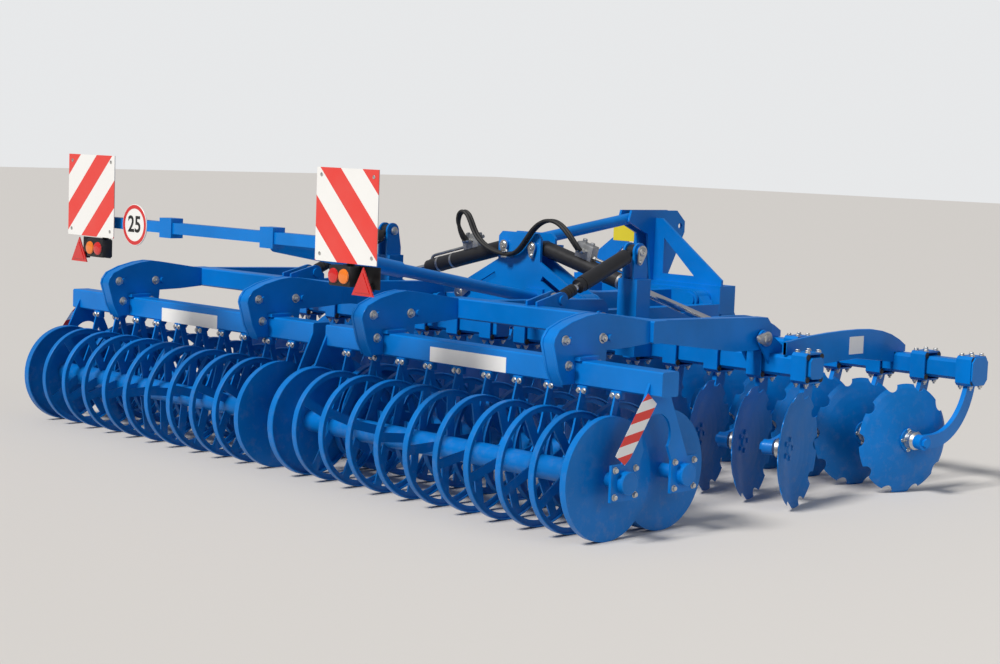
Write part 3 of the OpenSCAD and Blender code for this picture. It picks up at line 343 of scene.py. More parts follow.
# Heads: radius, reach of the keeper's screw
ARM_HEAD, POST_HEAD, HINGE_HEAD, BASE_HEAD = (0.034, 0.058), (0.03, 0.05), (0.034, 0.06), (0.026, 0.044)
ARM_PINS_X, PIN_OUT = (1.589, 0.589), 0.059
POST_PIN_OUT, FOLD_PIN_X, FOLD_PIN_Z, FOLD_PIN_OUT = 0.047, 1.33, 0.72, 0.0485
POST_TAIL = ((0, 0.022), (0.005, 0.022), (0.007, 0.019))
FOLD_PIN_END = ((0, 0.02), (0.004, 0.02), (0.006, 0.017))
joints = {joint["name"]: joint for joint in frame["joints"]}
for wing, side in WINGS.items():
    pivot = Vector(joints[f"roller_depth_{wing}"]["pos_m"])
    bm = bmesh.new()
    for member in ARM_PINS_X:
        keeper(bm, (side * (member + PIN_OUT), pivot.y, pivot.z), (side, 0, 0), (0, -1, 0.08),
               *ARM_HEAD)
    upper = Vector(joints[f"depth_barrel_{wing}_swing"]["pos_m"])
    keeper(bm, (upper.x + side * POST_PIN_OUT, upper.y, upper.z), (side, 0, 0), (0, -0.3, -1),
           *POST_HEAD)
    turned(bm, (upper.x - side * (POST_PIN_OUT - 0.0005), upper.y, upper.z), (-side, 0, 0), POST_TAIL)
    fold_y = joints[f"fold_{wing}"]["pos_m"][1]
    for out in (-1, 1):
        turned(bm, (side * FOLD_PIN_X, fold_y + out * FOLD_PIN_OUT, FOLD_PIN_Z), (0, out, 0),
               FOLD_PIN_END)
    as_piece(bm, f"pivot_pins_{wing}", zinc, f"wing_{wing}")

EAR_REAR = 0.075
bm = bmesh.new()
for wing, side in WINGS.items():
    fold = Vector(joints[f"fold_{wing}"]["pos_m"])
    base = Vector(joints[f"fold_barrel_{wing}_swing"]["pos_m"])
    keeper(bm, (fold.x, fold.y - EAR_REAR, fold.z), (0, -1, 0), (-side, 0, 0.4), *HINGE_HEAD)
    keeper(bm, (base.x, base.y - EAR_REAR, base.z), (0, -1, 0), (0, 0, -1), *BASE_HEAD)
as_piece(bm, "hinge_pins", zinc, "centre")


# Arm bolts
# Zinc plated nuts close the long bolts of the humped arms, and bolts hold the roller bearings
# to the side plates. A painted cap closes each bearing.
AXLES_Y, AXLE_Z = (0.0, 0.36), 0.25
SIDE_PLATE_OUTER, SIDE_PLATE_INNER = 2.03, 0.045
CAP_OUTER, CAP_INNER = 2.052, 0.033
CAP_PROFILE = ((-0.001, 0.0465), (0.003, 0.0465), (0.006, 0.043), (0.007, 0.03), (0.0075, 0.012))
BEARING_BOLTS = [
    (y + dy, AXLE_Z + dz) for y in AXLES_Y for dy in (-0.06, 0.06) for dz in (-0.053, 0.053)
]
for wing, side in WINGS.items():
    bm = bmesh.new()
    for x in HUMP_X:
        for y, z in HUMP_BOLTS:
            for out in (-1, 1):
                hex_bolt(bm, spot(side * x + out * HUMP_OUT, y, z), (out, 0, 0),
                         across=0.03, head=0.016, thread=0.006)
    for y, z in BEARING_BOLTS:
        for x, out in ((SIDE_PLATE_OUTER, side), (SIDE_PLATE_INNER, -side)):
            hex_bolt(bm, spot(side * x, y, z), (out, 0, 0), across=0.019, head=0.012)
    as_piece(bm, f"arm_bolts_{wing}", zinc, f"roller_unit_{wing}")
    caps = bmesh.new()
    for y in AXLES_Y:
        for x, out in ((CAP_OUTER, side), (CAP_INNER, -side)):
            turned(caps, spot(side * x, y, AXLE_Z), (out, 0, 0), CAP_PROFILE, 40)
    as_piece(caps, f"bearing_caps_{wing}", blue, f"roller_unit_{wing}")


# Spring clamps
# Each disc arm hangs from a welded shell that grips its beam through four rubber cords.
# Four zinc plated bolts pull the halves of the shell together.
DISCS_PER_ROW = 8
DISC_PITCH = 0.25
ARM_REACH = 0.0854
CLAMP_HALF, BOLT_OUT = 0.07, (0.027, 0.042)
CORD_OUT, CORD_R, CORD_FACE = 0.0511, 0.0142, 0.038
REAR_BEAM_YZ = (1.47, 0.595)
FIRST_HUB_X = {"r": (2.04, 1.9), "l": (-0.21, -0.1)}
CLAMPS = {
    wing: [
        (first - DISC_PITCH * k + lean * ARM_REACH, *beam)
        for first, lean, beam in zip(FIRST_HUB_X[wing], (1, -1), (FRONT_BEAM_YZ, REAR_BEAM_YZ))
        for k in range(DISCS_PER_ROW)
    ]
    for wing in WINGS
}
rubber = smooth_finish("black rubber", (0.012, 0.012, 0.012), 0.6, metallic=0.0, scratch=0.2)
for wing, places in CLAMPS.items():
    bolts, cords = bmesh.new(), bmesh.new()
    for x, y, z in places:
        for dx in (-BOLT_OUT[0], BOLT_OUT[0]):
            for dy in (-BOLT_OUT[1], BOLT_OUT[1]):
                for up, thread in ((1, 0.0), (-1, 0.008)):
                    hex_bolt(bolts, spot(x + dx, y + dy, z + up * CLAMP_HALF), (0, 0, up),
                             across=0.019, head=0.012, thread=thread)
        for dy in (-CORD_OUT, CORD_OUT):
            for dz in (-CORD_OUT, CORD_OUT):
                for out in (-1, 1):
                    turned(cords, spot(x + out * CORD_FACE, y + dy, z + dz), (out, 0, 0),
                           [(0, CORD_R), (0.0035, CORD_R), (0.005, 0.0115)], 14)
    as_piece(bolts, f"clamp_bolts_{wing}", zinc, f"wing_{wing}")
    as_piece(cords, f"rubber_cords_{wing}", rubber, f"wing_{wing}")


# Rollers
# Rings of rolled tread profile on flat spokes, welded to a tube. They leave the works painted
# like the frame, and pick up the most dust because they stand on the ground.
ring_blue = paint_coat("roller blue paint", (0.0008, 0.15, 0.5), dust=0.22, rough=0.3)
for wing in WINGS:
    for row in ("rear", "front"):
        finish_node(f"roller_{row}_{wing}", ring_blue)


def hoop(bm, at, out, section, sides=96):
    """Ring turned round out; section is a closed list of (distance along out, radius)."""
    loops = circles(bm, at, out, section, sides)
    join_loops(bm, zip(loops, loops[1:] + loops[:1]))


# The end discs carry the same rolled rim as the rings, on their inner side.
RIM = ((0.0, 0.2425), (0.0, 0.2495), (0.014, 0.2498), (0.027, 0.2495), (0.03, 0.247), (0.03, 0.2425))
ROLLER_ENDS = {"rear": (AXLES_Y[0], 0.113, 1.943), "front": (AXLES_Y[1], 0.14, 1.916)}
for wing, side in WINGS.items():
    for row, (y, inner, outer) in ROLLER_ENDS.items():
        bm = bmesh.new()
        hoop(bm, spot(side * inner, y, AXLE_Z), (side, 0, 0), RIM)
        hoop(bm, spot(side * outer, y, AXLE_Z), (-side, 0, 0), RIM)
        as_piece(bm, f"end_rims_{row}_{wing}", ring_blue, f"roller_{row}_{wing}")


# Discs
# Dished boron steel with a scalloped rim, ground to its cutting edge from the convex side.
# They are painted blue over the hardened plate, and soil dust settles on them low down.
disc_blue = paint_coat("disc blue paint", (0.0008, 0.15, 0.5), dust=0.22, rough=0.3)
disc_names = [
    f"disc_{row}_{wing}{k + 1}"
    for row in ("front", "rear") for wing in WINGS for k in range(DISCS_PER_ROW)
]
for name in disc_names:
    finish_node(name, disc_blue)


# Disc hubs
# Sealed bearing hubs: a turned, zinc plated housing on the bulging side with five nuts round it.
# The heads of the same bolts lie in the hollow side and are painted with the disc.
NUT_RING, HEAD_RING, HUB_BOLTS = 0.049, 0.044, 5
HUB_FOOT, NUT_FOOT = 0.0148, 0.015
HUB_PROFILE = (
    (0, 0.0425), (0.004, 0.0425), (0.0055, 0.0415), (0.033, 0.0415), (0.0365, 0.0418), (0.0503, 0.031),
)
for name in disc_names:
    axle = joints[f"{name}_spin"]
    at, out = Vector(axle["pos_m"]), Vector(axle["axis"])
    side = out.cross(Vector((0, 0, 1))).normalized()
    housing, heads = bmesh.new(), bmesh.new()
    turned(housing, at + HUB_FOOT * out, out, HUB_PROFILE, 28)
    for i in range(HUB_BOLTS):
        turn = math.tau * i / HUB_BOLTS
        spoke = math.cos(turn) * side + math.sin(turn) * Vector((0, 0, 1))
        hex_bolt(housing, at + NUT_FOOT * out + NUT_RING * spoke, out,
                 across=0.0125, head=0.009, thread=0.005)
        hex_bolt(heads, at + HEAD_RING * spoke, -out, across=0.018, head=0.008)
    as_piece(housing, f"hub_{name}", zinc, name)
    as_piece(heads, f"hub_bolts_{name}", disc_blue, name)


# Scraper holders
# Short blocks under the roller beam clamp the scraper blades that run between the rings.
# Each is folded plate held by two bolts.
def block(bm, low, high, edge=0.003, place=Matrix.Identity(4)):
    """Block between two corners with rounded edges, moved by place."""
    low, high = Vector(low), Vector(high)
    seat = place @ Matrix.Translation((low + high) / 2) @ Matrix.Diagonal((*(high - low), 1))
    made = bmesh.ops.create_cube(bm, size=1, matrix=seat)["verts"]
    rims = list(dict.fromkeys(rim for vert in made for rim in vert.link_edges))
    bmesh.ops.bevel(bm, geom=rims, offset=edge, segments=2, affect="EDGES", profile=0.5)


RING_PITCH, HOLDER_HALF = 0.183, (0.025, 0.0175)
HOLDER_LOW, HOLDER_TOP, HOLDER_BOLT_Z = 0.546, 0.581, 0.562
for wing, side in WINGS.items():
    plates, bolts = bmesh.new(), bmesh.new()
    rear = [(0.2045 + RING_PITCH * k, 0.1425, -1) for k in range(10)]
    front = [(0.113 + RING_PITCH * k, 0.2175, 1) for k in range(1, 10)]
    for x, y, out in rear + front:
        x *= side
        half_x, half_y = HOLDER_HALF
        block(plates, spot(x - half_x, y - half_y, HOLDER_LOW), spot(x + half_x, y + half_y, HOLDER_TOP))
        for dx in (-0.014, 0.014):
            hex_bolt(bolts, spot(x + dx, y + out * half_y, HOLDER_BOLT_Z), (0, out, 0),
                     across=0.017, head=0.009)
    as_piece(plates, f"scraper_holders_{wing}", blue, f"roller_unit_{wing}")
    as_piece(bolts, f"scraper_bolts_{wing}", zinc, f"roller_unit_{wing}")


# Hydraulic cylinders
# Each wing has one that folds it and one that sets the roller's depth, both pinned at two eyes.
# Barrels are satin black steel tube with a gland ring; rods are hard-chromed and bare.
barrel_black = smooth_finish("satin black tube", (0.016, 0.016, 0.018), 0.38, metallic=0.0)
rod_chrome = smooth_finish("hard chrome", (0.86, 0.86, 0.88), 0.1, scratch=0.004, drift=0.06)
SPACERS, SPACER_L, SPACER_R, SPACER_START = 4, 0.0205, 0.0285, 0.036
DEPTH_EYE = (0.88, 0.8, 0.845)
BARREL_R, BARREL_L, BARREL_NECK, BARREL_BORE = 0.04, 0.665, 0.04, 0.0205
EYE_R, EYE_HALF, EYE_BORE = 0.032, 0.042, 0.0155
EYE_RING = (
    (0, EYE_BORE), (0, EYE_R - 0.0015), (0.0015, EYE_R), (2 * EYE_HALF - 0.0015, EYE_R),
    (2 * EYE_HALF, EYE_R - 0.0015), (2 * EYE_HALF, EYE_BORE),
)
BARREL_FOOT = EYE_R - 0.006
BARREL_PROFILE = (
    (BARREL_FOOT, EYE_HALF - 0.006), (BARREL_NECK - 0.001, EYE_HALF - 0.004),
    (BARREL_NECK, BARREL_R - 0.003), (BARREL_NECK + 0.003, BARREL_R),
    (BARREL_L - 0.032, BARREL_R), (BARREL_L - 0.0305, BARREL_R - 0.002),
    (BARREL_L - 0.0295, BARREL_R - 0.003), (BARREL_L - 0.002, BARREL_R - 0.003),
    (BARREL_L, BARREL_R - 0.005), (BARREL_L, BARREL_BORE), (BARREL_NECK + 0.02, BARREL_BORE),
)


def barrel_frame(wing):
    """Frame along a fold barrel from its base pin: x along the rod, z up."""
    along = Vector(joints[f"fold_rod_{wing}_slide"]["axis"])
    across = Vector((0, 1, 0))
    if along.x < 0:
        across = -across
    upward = along.cross(across)
    base = Vector(joints[f"fold_barrel_{wing}_swing"]["pos_m"])
    return Matrix((
        (along.x, across.x, upward.x, base.x), (along.y, across.y, upward.y, base.y),
        (along.z, across.z, upward.z, base.z), (0, 0, 0, 1),
    ))


for wing in WINGS:
    finish_node(f"depth_barrel_{wing}", barrel_black, 0.0015)
    for use in ("fold", "depth"):
        finish_node(f"{use}_rod_{wing}", rod_chrome)
    # Fold barrel: base eye, neck, tube and gland, bored for the rod.
    place = barrel_frame(wing)
    bm = bmesh.new()
    hoop(bm, place.translation - Vector((0, EYE_HALF, 0)), (0, 1, 0), EYE_RING, 48)
    turned(bm, place @ Vector((BARREL_FOOT, 0, 0)), joints[f"fold_rod_{wing}_slide"]["axis"],
           [(along - BARREL_FOOT, radius) for along, radius in BARREL_PROFILE], 56)
    as_piece(bm, f"barrel_tube_{wing}", barrel_black, f"fold_barrel_{wing}")
    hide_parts(f"fold_barrel_{wing}")
    # Black spacers on the depth rod set how far it can draw in.
    slide = Vector(joints[f"depth_rod_{wing}_slide"]["axis"])
    eye_x, eye_y, eye_z = DEPTH_EYE
    eye = spot(WINGS[wing] * eye_x, eye_y, eye_z)
    bm = bmesh.new()
    for k in range(SPACERS):
        turned(bm, eye - slide * (SPACER_START + SPACER_L * (k + 1)), slide, [
            (0, SPACER_R - 0.0025), (0.0015, SPACER_R), (SPACER_L - 0.002, SPACER_R),
            (SPACER_L - 0.0005, SPACER_R - 0.0025),
        ], 28)
    as_piece(bm, f"depth_spacers_{wing}", barrel_black, f"depth_rod_{wing}")


# Valve blocks and feed pipes
# A cast aluminium block on each fold barrel holds the lock valve, its plugs and two hose ports.
# A bent zinc plated pipe runs from it to the gland end of the barrel.
cast_grey = smooth_finish("cast aluminium", (0.36, 0.37, 0.38), 0.42, metallic=0.7)
VALVE, VALVE_HALF, VALVE_TOP = (0.245, 0.357), 0.024, 0.112
PLUGS = ((VALVE[0] + 0.03, 0.02), (VALVE[1] - 0.028, 0.014))
SIDE_PLUG = ((0, 0.014), (0.012, 0.014), (0.016, 0.010), (0.03, 0.010), (0.032, 0.008))
CLIPS, CLIP = (0.45, 0.56), ((0, 0.0396), (0, 0.0412), (0.014, 0.0412), (0.014, 0.0396))
PORTS, PORT_FACE, PORT_Z = (0.288, 0.314), 0.023, 0.076
PORT = ((0, 0.0125), (0.008, 0.0125), (0.0085, 0.0105), (0.0185, 0.0105))
PIPE_R, PIPE_Z = 0.0078, 0.0545
PIPE_NUT = ((0, 0.0125), (0.016, 0.0125), (0.018, 0.009))
PIPE_ROUTE = (
    (VALVE[1] - 0.004, PIPE_Z), (CLIPS[0], PIPE_Z), (CLIPS[1], PIPE_Z), (0.602, PIPE_Z),
    (0.618, 0.051), (0.628, 0.044), (0.631, 0.037),
)


def smooth_path(points, steps=4):
    """Rounded path through all the points."""
    ends = [2 * points[0] - points[1]] + list(points) + [2 * points[-1] - points[-2]]
    path = []
    for a, b, c, d in zip(ends, ends[1:], ends[2:], ends[3:]):
        for i in range(steps):
            t = i / steps
            path.append(0.5 * (2 * b + (c - a) * t + (2 * a - 5 * b + 4 * c - d) * t * t
                               + (3 * b - a - 3 * c + d) * t ** 3))
    return path + [points[-1]]


def swept(bm, path, radius, sides=14):
    """Round tube along a path, without twist, closed at both ends."""
    loops = []
    run = (path[1] - path[0]).normalized()
    across = run.orthogonal().normalized()
    for i, point in enumerate(path):
        ahead = (path[min(i + 1, len(path) - 1)] - path[max(i - 1, 0)]).normalized()
        across = (across - ahead * across.dot(ahead)).normalized()
        over = ahead.cross(across)
        loops.append([
            bm.verts.new(point + radius * (math.cos(math.tau * k / sides) * across
                                           + math.sin(math.tau * k / sides) * over))
            for k in range(sides)
        ])
    join_loops(bm, zip(loops, loops[1:]))
    bm.faces.new(loops[0][::-1])
    bm.faces.new(loops[-1])


for wing in WINGS:
    place = barrel_frame(wing)
    upward = place.to_3x3() @ Vector((0, 0, 1))
    along = place.to_3x3() @ Vector((1, 0, 0))
    valve, pipe = bmesh.new(), bmesh.new()
    block(valve, (VALVE[0], -VALVE_HALF, BARREL_R - 0.006), (VALVE[1], VALVE_HALF, VALVE_TOP), 0.004,
          place)
    for x, reach in PLUGS:
        turned(valve, place @ Vector((x, 0, VALVE_TOP - 0.001)), upward,
               [(0, 0.0125), (reach - 0.003, 0.0125), (reach, 0.0095)], 6)
    turned(valve, place @ Vector((VALVE[0] + 0.001, 0, 0.085)), -along, SIDE_PLUG, 6)
    for x in PORTS:
        turned(pipe, place @ Vector((x, 0, PORT_Z)) - Vector((0, PORT_FACE, 0)), (0, -1, 0), PORT, 6)
    swept(pipe, smooth_path([place @ Vector((x, 0, z)) for x, z in PIPE_ROUTE]), PIPE_R)
    turned(pipe, place @ Vector((VALVE[1] - 0.001, 0, PIPE_Z)), along, PIPE_NUT, 6)
    for clip in CLIPS:
        hoop(pipe, place @ Vector((clip, 0, 0)), along, CLIP, 40)
    as_piece(valve, f"valve_block_{wing}", cast_grey, f"fold_barrel_{wing}")
    as_piece(pipe, f"feed_pipe_{wing}", zinc, f"fold_barrel_{wing}")


# Fold hoses
# Two rubber hoses join the valve blocks behind the centre bracket, with crimped steel ends.
# A small shelf with a saddle on the bracket holds them where they pass its middle.
HOSE_R, HOSE_GAP, CRIMP_R = 0.0098, 0.021, 0.012
HOSE_REAR, BRACKET_REAR = 1.405, 1.447
PORT_MOUTH, CRIMP_STEPS = 0.042, 7
# Columns: x, distance ahead of the hoses' rear plane, z, share of the pair's spread along y
HOSE_ROUTE = (
    (-0.400, 0.052, 1.040, 0.05), (-0.410, 0.038, 1.060, 0.2), (-0.424, 0.022, 1.096, 0.45),
    (-0.430, 0.010, 1.134, 0.7), (-0.418, 0.003, 1.172, 0.9), (-0.388, 0.0, 1.188, 1),
    (-0.356, 0.0, 1.174, 1), (-0.332, 0.0, 1.142, 1), (-0.310, 0.0, 1.104, 1),
    (-0.283, 0.0, 1.068, 1), (-0.248, 0.0, 1.038, 1), (-0.206, 0.0, 1.015, 1),
    (-0.160, 0.0, 0.999, 1), (-0.115, 0.0, 0.989, 1), (-0.082, 0.0, 0.985, 1),
    (-0.060, 0.0, 0.985, 1), (-0.038, 0.0, 0.985, 1), (-0.002, 0.0, 0.994, 1),
    (0.030, 0.0, 1.014, 1), (0.060, 0.0, 1.044, 1), (0.090, 0.0, 1.080, 1),
    (0.124, 0.0, 1.118, 1), (0.164, 0.0, 1.149, 1), (0.210, 0.0, 1.168, 1),
    (0.260, 0.0, 1.171, 1), (0.304, 0.0, 1.158, 1), (0.342, 0.002, 1.133, 0.9),
    (0.370, 0.009, 1.102, 0.7), (0.388, 0.021, 1.072, 0.45), (0.397, 0.036, 1.048, 0.2),
)
SADDLE = 15
ports = [barrel_frame("r") @ Vector((x, 0, PORT_Z)) for x in PORTS]
spread = ports[1] - ports[0]
for wing, side in WINGS.items():
    half = HOSE_ROUTE[SADDLE:] if side > 0 else HOSE_ROUTE[SADDLE::-1]
    hoses, crimps = bmesh.new(), bmesh.new()
    for i in (0, 1):
        mouth = barrel_frame(wing) @ Vector((PORTS[i], 0, PORT_Z)) - Vector((0, PORT_MOUTH, 0))
        route = [
            spot(x + i * (1 - share) * spread.x * math.copysign(1, x),
                 HOSE_REAR + ahead + i * share * HOSE_GAP, z + i * (1 - share) * spread.z)
            for x, ahead, z, share in half
        ]
        route += [mouth + Vector((0, -0.009, 0)), mouth]
        path = smooth_path(route)
        swept(hoses, path, HOSE_R)
        swept(crimps, path[-CRIMP_STEPS:], CRIMP_R, 18)
    as_piece(hoses, f"fold_hoses_{wing}", rubber, None)
    as_piece(crimps, f"hose_ends_{wing}", zinc, f"fold_barrel_{wing}")
    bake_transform(bpy.data.objects[f"fold_hoses_{wing}"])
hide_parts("hoses")
bm = bmesh.new()
x, z = HOSE_ROUTE[SADDLE][0], HOSE_ROUTE[SADDLE][2]
block(bm, spot(x - 0.02, HOSE_REAR - 0.013, z - HOSE_R - 0.01),
      spot(x + 0.02, BRACKET_REAR, z - HOSE_R), 0.002)
block(bm, spot(x - 0.012, HOSE_REAR - 0.015, z + HOSE_R - 0.001),
      spot(x + 0.012, HOSE_REAR + 0.036, z + HOSE_R + 0.005), 0.002)
hex_bolt(bm, spot(x, HOSE_REAR + HOSE_GAP / 2, z + HOSE_R + 0.005), (0, 0, 1), across=0.013, head=0.007)
as_piece(bm, "hose_saddle", zinc, "centre")


# Warning boards
# Square aluminium plates with slanting red and white stripes of reflecting film to the rear,
# bare grey in front, screwed to the light bar.
BOARD = {"out": 1.1225, "top": 1.425, "in": 0.7375, "low": 1.04, "middle_y": -1.6245}
BOARD_REAR, SCREW_IN = -0.52, 0.03
SCREW_HEAD = ((0, 0.008), (0.0015, 0.008), (0.003, 0.005))
STRIPE_PITCH, STRIPE_HALF, STRIPE_START = 0.264, 0.065, 0.096
board_film = bpy.data.materials.new("striped board film")
board_film.use_nodes = True
tree = board_film.node_tree
made, join = tree.nodes.new, tree.links.new


def maths(operation, *values, clamp=False):
    """One arithmetic node of the material at hand; values are sockets or numbers."""
    step = made("ShaderNodeMath")
    step.operation = operation
    step.use_clamp = clamp
    for slot, value in zip(step.inputs, values):
        if isinstance(value, (int, float)):
            slot.default_value = value
        else:
            join(value, slot)
    return step.outputs["Value"]


def mixed(share, first, second):
    """Mixes two colours; each is a socket or a written colour."""
    step = made("ShaderNodeMix")
    step.data_type = "RGBA"
    join(share, step.inputs["Factor"])
    for name, value in (("A", first), ("B", second)):
        if isinstance(value, tuple):
            step.inputs[name].default_value = (*value, 1)
        else:
            join(value, step.inputs[name])
    return step.outputs["Result"]


def film_relief(shader, where, scale=700.0, strength=0.04):
    """Fine cells of reflecting film."""
    cells = made("ShaderNodeTexVoronoi")
    cells.inputs["Scale"].default_value = scale
    join(where.outputs["Object"], cells.inputs["Vector"])
    bump = made("ShaderNodeBump")
    bump.inputs["Strength"].default_value = strength
    bump.inputs["Distance"].default_value = 0.0005
    join(cells.outputs["Distance"], bump.inputs["Height"])
    join(bump.outputs["Normal"], shader.inputs["Normal"])


shader = tree.nodes["Principled BSDF"]
where = made("ShaderNodeTexCoord")
parts = made("ShaderNodeSeparateXYZ")
join(where.outputs["Object"], parts.inputs["Vector"])
outward = maths("ABSOLUTE", parts.outputs["X"])
slant = maths("ADD", maths("SUBTRACT", BOARD["out"], outward),
              maths("SUBTRACT", BOARD["top"], parts.outputs["Z"]))
phase = maths("FLOORED_MODULO", maths("ADD", slant, STRIPE_START), STRIPE_PITCH)
from_middle = maths("ABSOLUTE", maths("SUBTRACT", phase, STRIPE_PITCH / 2))
red_share = maths("LESS_THAN", from_middle, STRIPE_HALF)
FILM_RED, FILM_WHITE = (0.74, 0.035, 0.025), (0.82, 0.82, 0.8)
SOIL, BARE_GREY = (0.45, 0.42, 0.38), (0.42, 0.43, 0.44)
grime = made("ShaderNodeTexNoise")
grime.inputs["Scale"].default_value = 9.0
grime.inputs["Detail"].default_value = 6.0
join(where.outputs["Object"], grime.inputs["Vector"])
striped = mixed(red_share, FILM_WHITE, FILM_RED)
soiled = mixed(maths("MULTIPLY", grime.outputs["Fac"], 0.12), striped, SOIL)
behind = maths("GREATER_THAN", parts.outputs["Y"], BOARD["middle_y"])
join(mixed(behind, soiled, BARE_GREY), shader.inputs["Base Color"])
shader.inputs["Roughness"].default_value = 0.32
film_relief(shader, where)
finish_node("warning_boards", board_film)
screws = bmesh.new()
for side in WINGS.values():
    for x in (BOARD["in"] + SCREW_IN, BOARD["out"] - SCREW_IN):
        for z in (BOARD["low"] + SCREW_IN, BOARD["top"] - SCREW_IN):
            turned(screws, spot(side * x, BOARD_REAR, z), (0, -1, 0), SCREW_HEAD, 16)
as_piece(screws, "board_screws", zinc, "centre")


# Rear lamps
# Black moulded boxes with a red and an orange round lens, and a raised red reflecting triangle
# outboard of each. They hang from the light bar below the boards on folded holders.
LAMP_X, TRIANGLE_X = 0.895, 1.035
LAMP_LOW, LAMP_TOP, LAMP_REAR, LAMP_FRONT = 0.943, 1.028, -0.52, -0.462
LAMP_HALF, HANGER_HALF, HANGER_FRONT, HANGER_TOP = 0.067, 0.02, -0.452, 1.088
HOLDER_X, HOLDER_LONG, HOLDER_Z = 0.965, 0.115, (0.938, 1.03)
LENS_R, LENS_OFF, LENS_OUT = 0.031, 0.0325, 0.0115
LENS_RIM = ((0, LENS_R + 0.003), (0.003, LENS_R + 0.003), (0.004, LENS_R + 0.001))
TRIANGLE = {"half": 0.066, "low": 0.914, "top": 1.03}
FOOT_HALF, FOOT_Z = 0.012, (0.93, 0.96)
lamp_black = smooth_finish("black moulded lamp case", (0.012, 0.012, 0.013), 0.45, metallic=0.0)


def lens_plastic(name, colour, roughness=0.12):
    """Clear coloured plastic over a reflector, with the ribs that spread its light."""
    mat = bpy.data.materials.new(name)
    mat.use_nodes = True
    tree = mat.node_tree
    shader = tree.nodes["Principled BSDF"]
    shader.inputs["Roughness"].default_value = roughness
    shader.inputs["Coat Weight"].default_value = 0.6
    where = tree.nodes.new("ShaderNodeTexCoord")
    ribs = tree.nodes.new("ShaderNodeTexWave")
    ribs.inputs["Scale"].default_value = 45.0
    tree.links.new(where.outputs["Object"], ribs.inputs["Vector"])
    tone = tree.nodes.new("ShaderNodeValToRGB")
    tone.color_ramp.elements[0].color = [c * 0.7 for c in colour] + [1]
    tone.color_ramp.elements[1].color = [min(1, c * 1.1) for c in colour] + [1]
    tree.links.new(ribs.outputs["Fac"], tone.inputs["Fac"])
    tree.links.new(tone.outputs["Color"], shader.inputs["Base Color"])
    bump = tree.nodes.new("ShaderNodeBump")
    bump.inputs["Strength"].default_value = 0.25
    bump.inputs["Distance"].default_value = 0.0008
    tree.links.new(ribs.outputs["Fac"], bump.inputs["Height"])
    tree.links.new(bump.outputs["Normal"], shader.inputs["Normal"])
    return mat


red_lens = lens_plastic("red lens", (0.62, 0.012, 0.01))
orange_lens = lens_plastic("orange lens", (0.85, 0.2, 0.01))
cases, reds, oranges = bmesh.new(), bmesh.new(), bmesh.new()
LENS_DOME = [
    (0, LENS_R), (0.005, LENS_R), (0.0085, LENS_R * 0.93),
    (0.0105, LENS_R * 0.72), (LENS_OUT, LENS_R * 0.4),
]
for side in WINGS.values():
    middle = (LAMP_LOW + LAMP_TOP) / 2
    block(cases, spot(side * LAMP_X - LAMP_HALF, LAMP_REAR, LAMP_LOW),
          spot(side * LAMP_X + LAMP_HALF, LAMP_FRONT, LAMP_TOP), 0.006)
    block(cases, spot(side * LAMP_X - HANGER_HALF, LAMP_FRONT - 0.002, LAMP_TOP - 0.03),
          spot(side * LAMP_X + HANGER_HALF, HANGER_FRONT, HANGER_TOP), 0.003)
    for lens, off in ((reds, -LENS_OFF), (oranges, LENS_OFF)):
        turned(lens, spot(side * (LAMP_X + off), LAMP_REAR + 0.0005, middle), (0, -1, 0), LENS_DOME, 32)
        turned(cases, spot(side * (LAMP_X + off), LAMP_REAR + 0.001, middle), (0, -1, 0), LENS_RIM, 32)
    for grow, depth in ((0.0, 0.006), (-0.012, 0.0085)):
        corners = [
            (-TRIANGLE["half"] - grow * 1.73, TRIANGLE["low"] - grow),
            (TRIANGLE["half"] + grow * 1.73, TRIANGLE["low"] - grow),
            (0, TRIANGLE["top"] + grow * 2),
        ]
        face = [spot(side * TRIANGLE_X + x, LAMP_REAR + 0.012, z) for x, z in corners]
        slab(reds, face, (0, -depth, 0))
    block(cases, spot(side * TRIANGLE_X - FOOT_HALF, LAMP_REAR + 0.01, FOOT_Z[0]),
          spot(side * TRIANGLE_X + FOOT_HALF, LAMP_FRONT + 0.004, FOOT_Z[1]), 0.002)
    block(cases, spot(side * HOLDER_X - HOLDER_LONG, LAMP_FRONT, HOLDER_Z[0]),
          spot(side * HOLDER_X + HOLDER_LONG, LAMP_FRONT + 0.006, HOLDER_Z[1]), 0.002)
as_piece(cases, "lamp_cases", lamp_black, "centre")
as_piece(reds, "red_lenses", red_lens, "centre")
as_piece(oranges, "orange_lenses", orange_lens, "centre")
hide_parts("rear_lamps")


# Speed disc
# Thin round plate of white film with a red ring and the plain number of the speed limit.
# It is riveted to the light bar left of the machine's middle.
SPEED = {"x": -0.62, "z": 1.11, "front": -0.478, "rear": -0.484, "r": 0.096}
RING_OUT, RING_IN, RING_THICK = SPEED["r"] - 0.003, SPEED["r"] - 0.02, 0.0008
PRINT_OUT = 0.0003
speed_white = smooth_finish("white film", (0.8, 0.8, 0.78), 0.3, metallic=0.0, scratch=0.02, drift=0.03)
speed_red = smooth_finish("red film", (0.6, 0.03, 0.03), 0.3, metallic=0.0, scratch=0.02, drift=0.05)
print_black = smooth_finish("black print", (0.012, 0.012, 0.012), 0.4, metallic=0.0, scratch=0.02)
bm = bmesh.new()
turned(bm, spot(SPEED["x"], SPEED["front"], SPEED["z"]), (0, -1, 0),
       [(0, SPEED["r"]), (0.005, SPEED["r"]), (0.006, SPEED["r"] - 0.001)], 64)
as_piece(bm, "speed_plate", speed_white, "centre")
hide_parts("speed_disc")
bm = bmesh.new()
hoop(bm, spot(SPEED["x"], SPEED["rear"] + PRINT_OUT, SPEED["z"]), (0, -1, 0),
     ((0, RING_OUT), (RING_THICK, RING_OUT), (RING_THICK, RING_IN), (0, RING_IN)), 64)
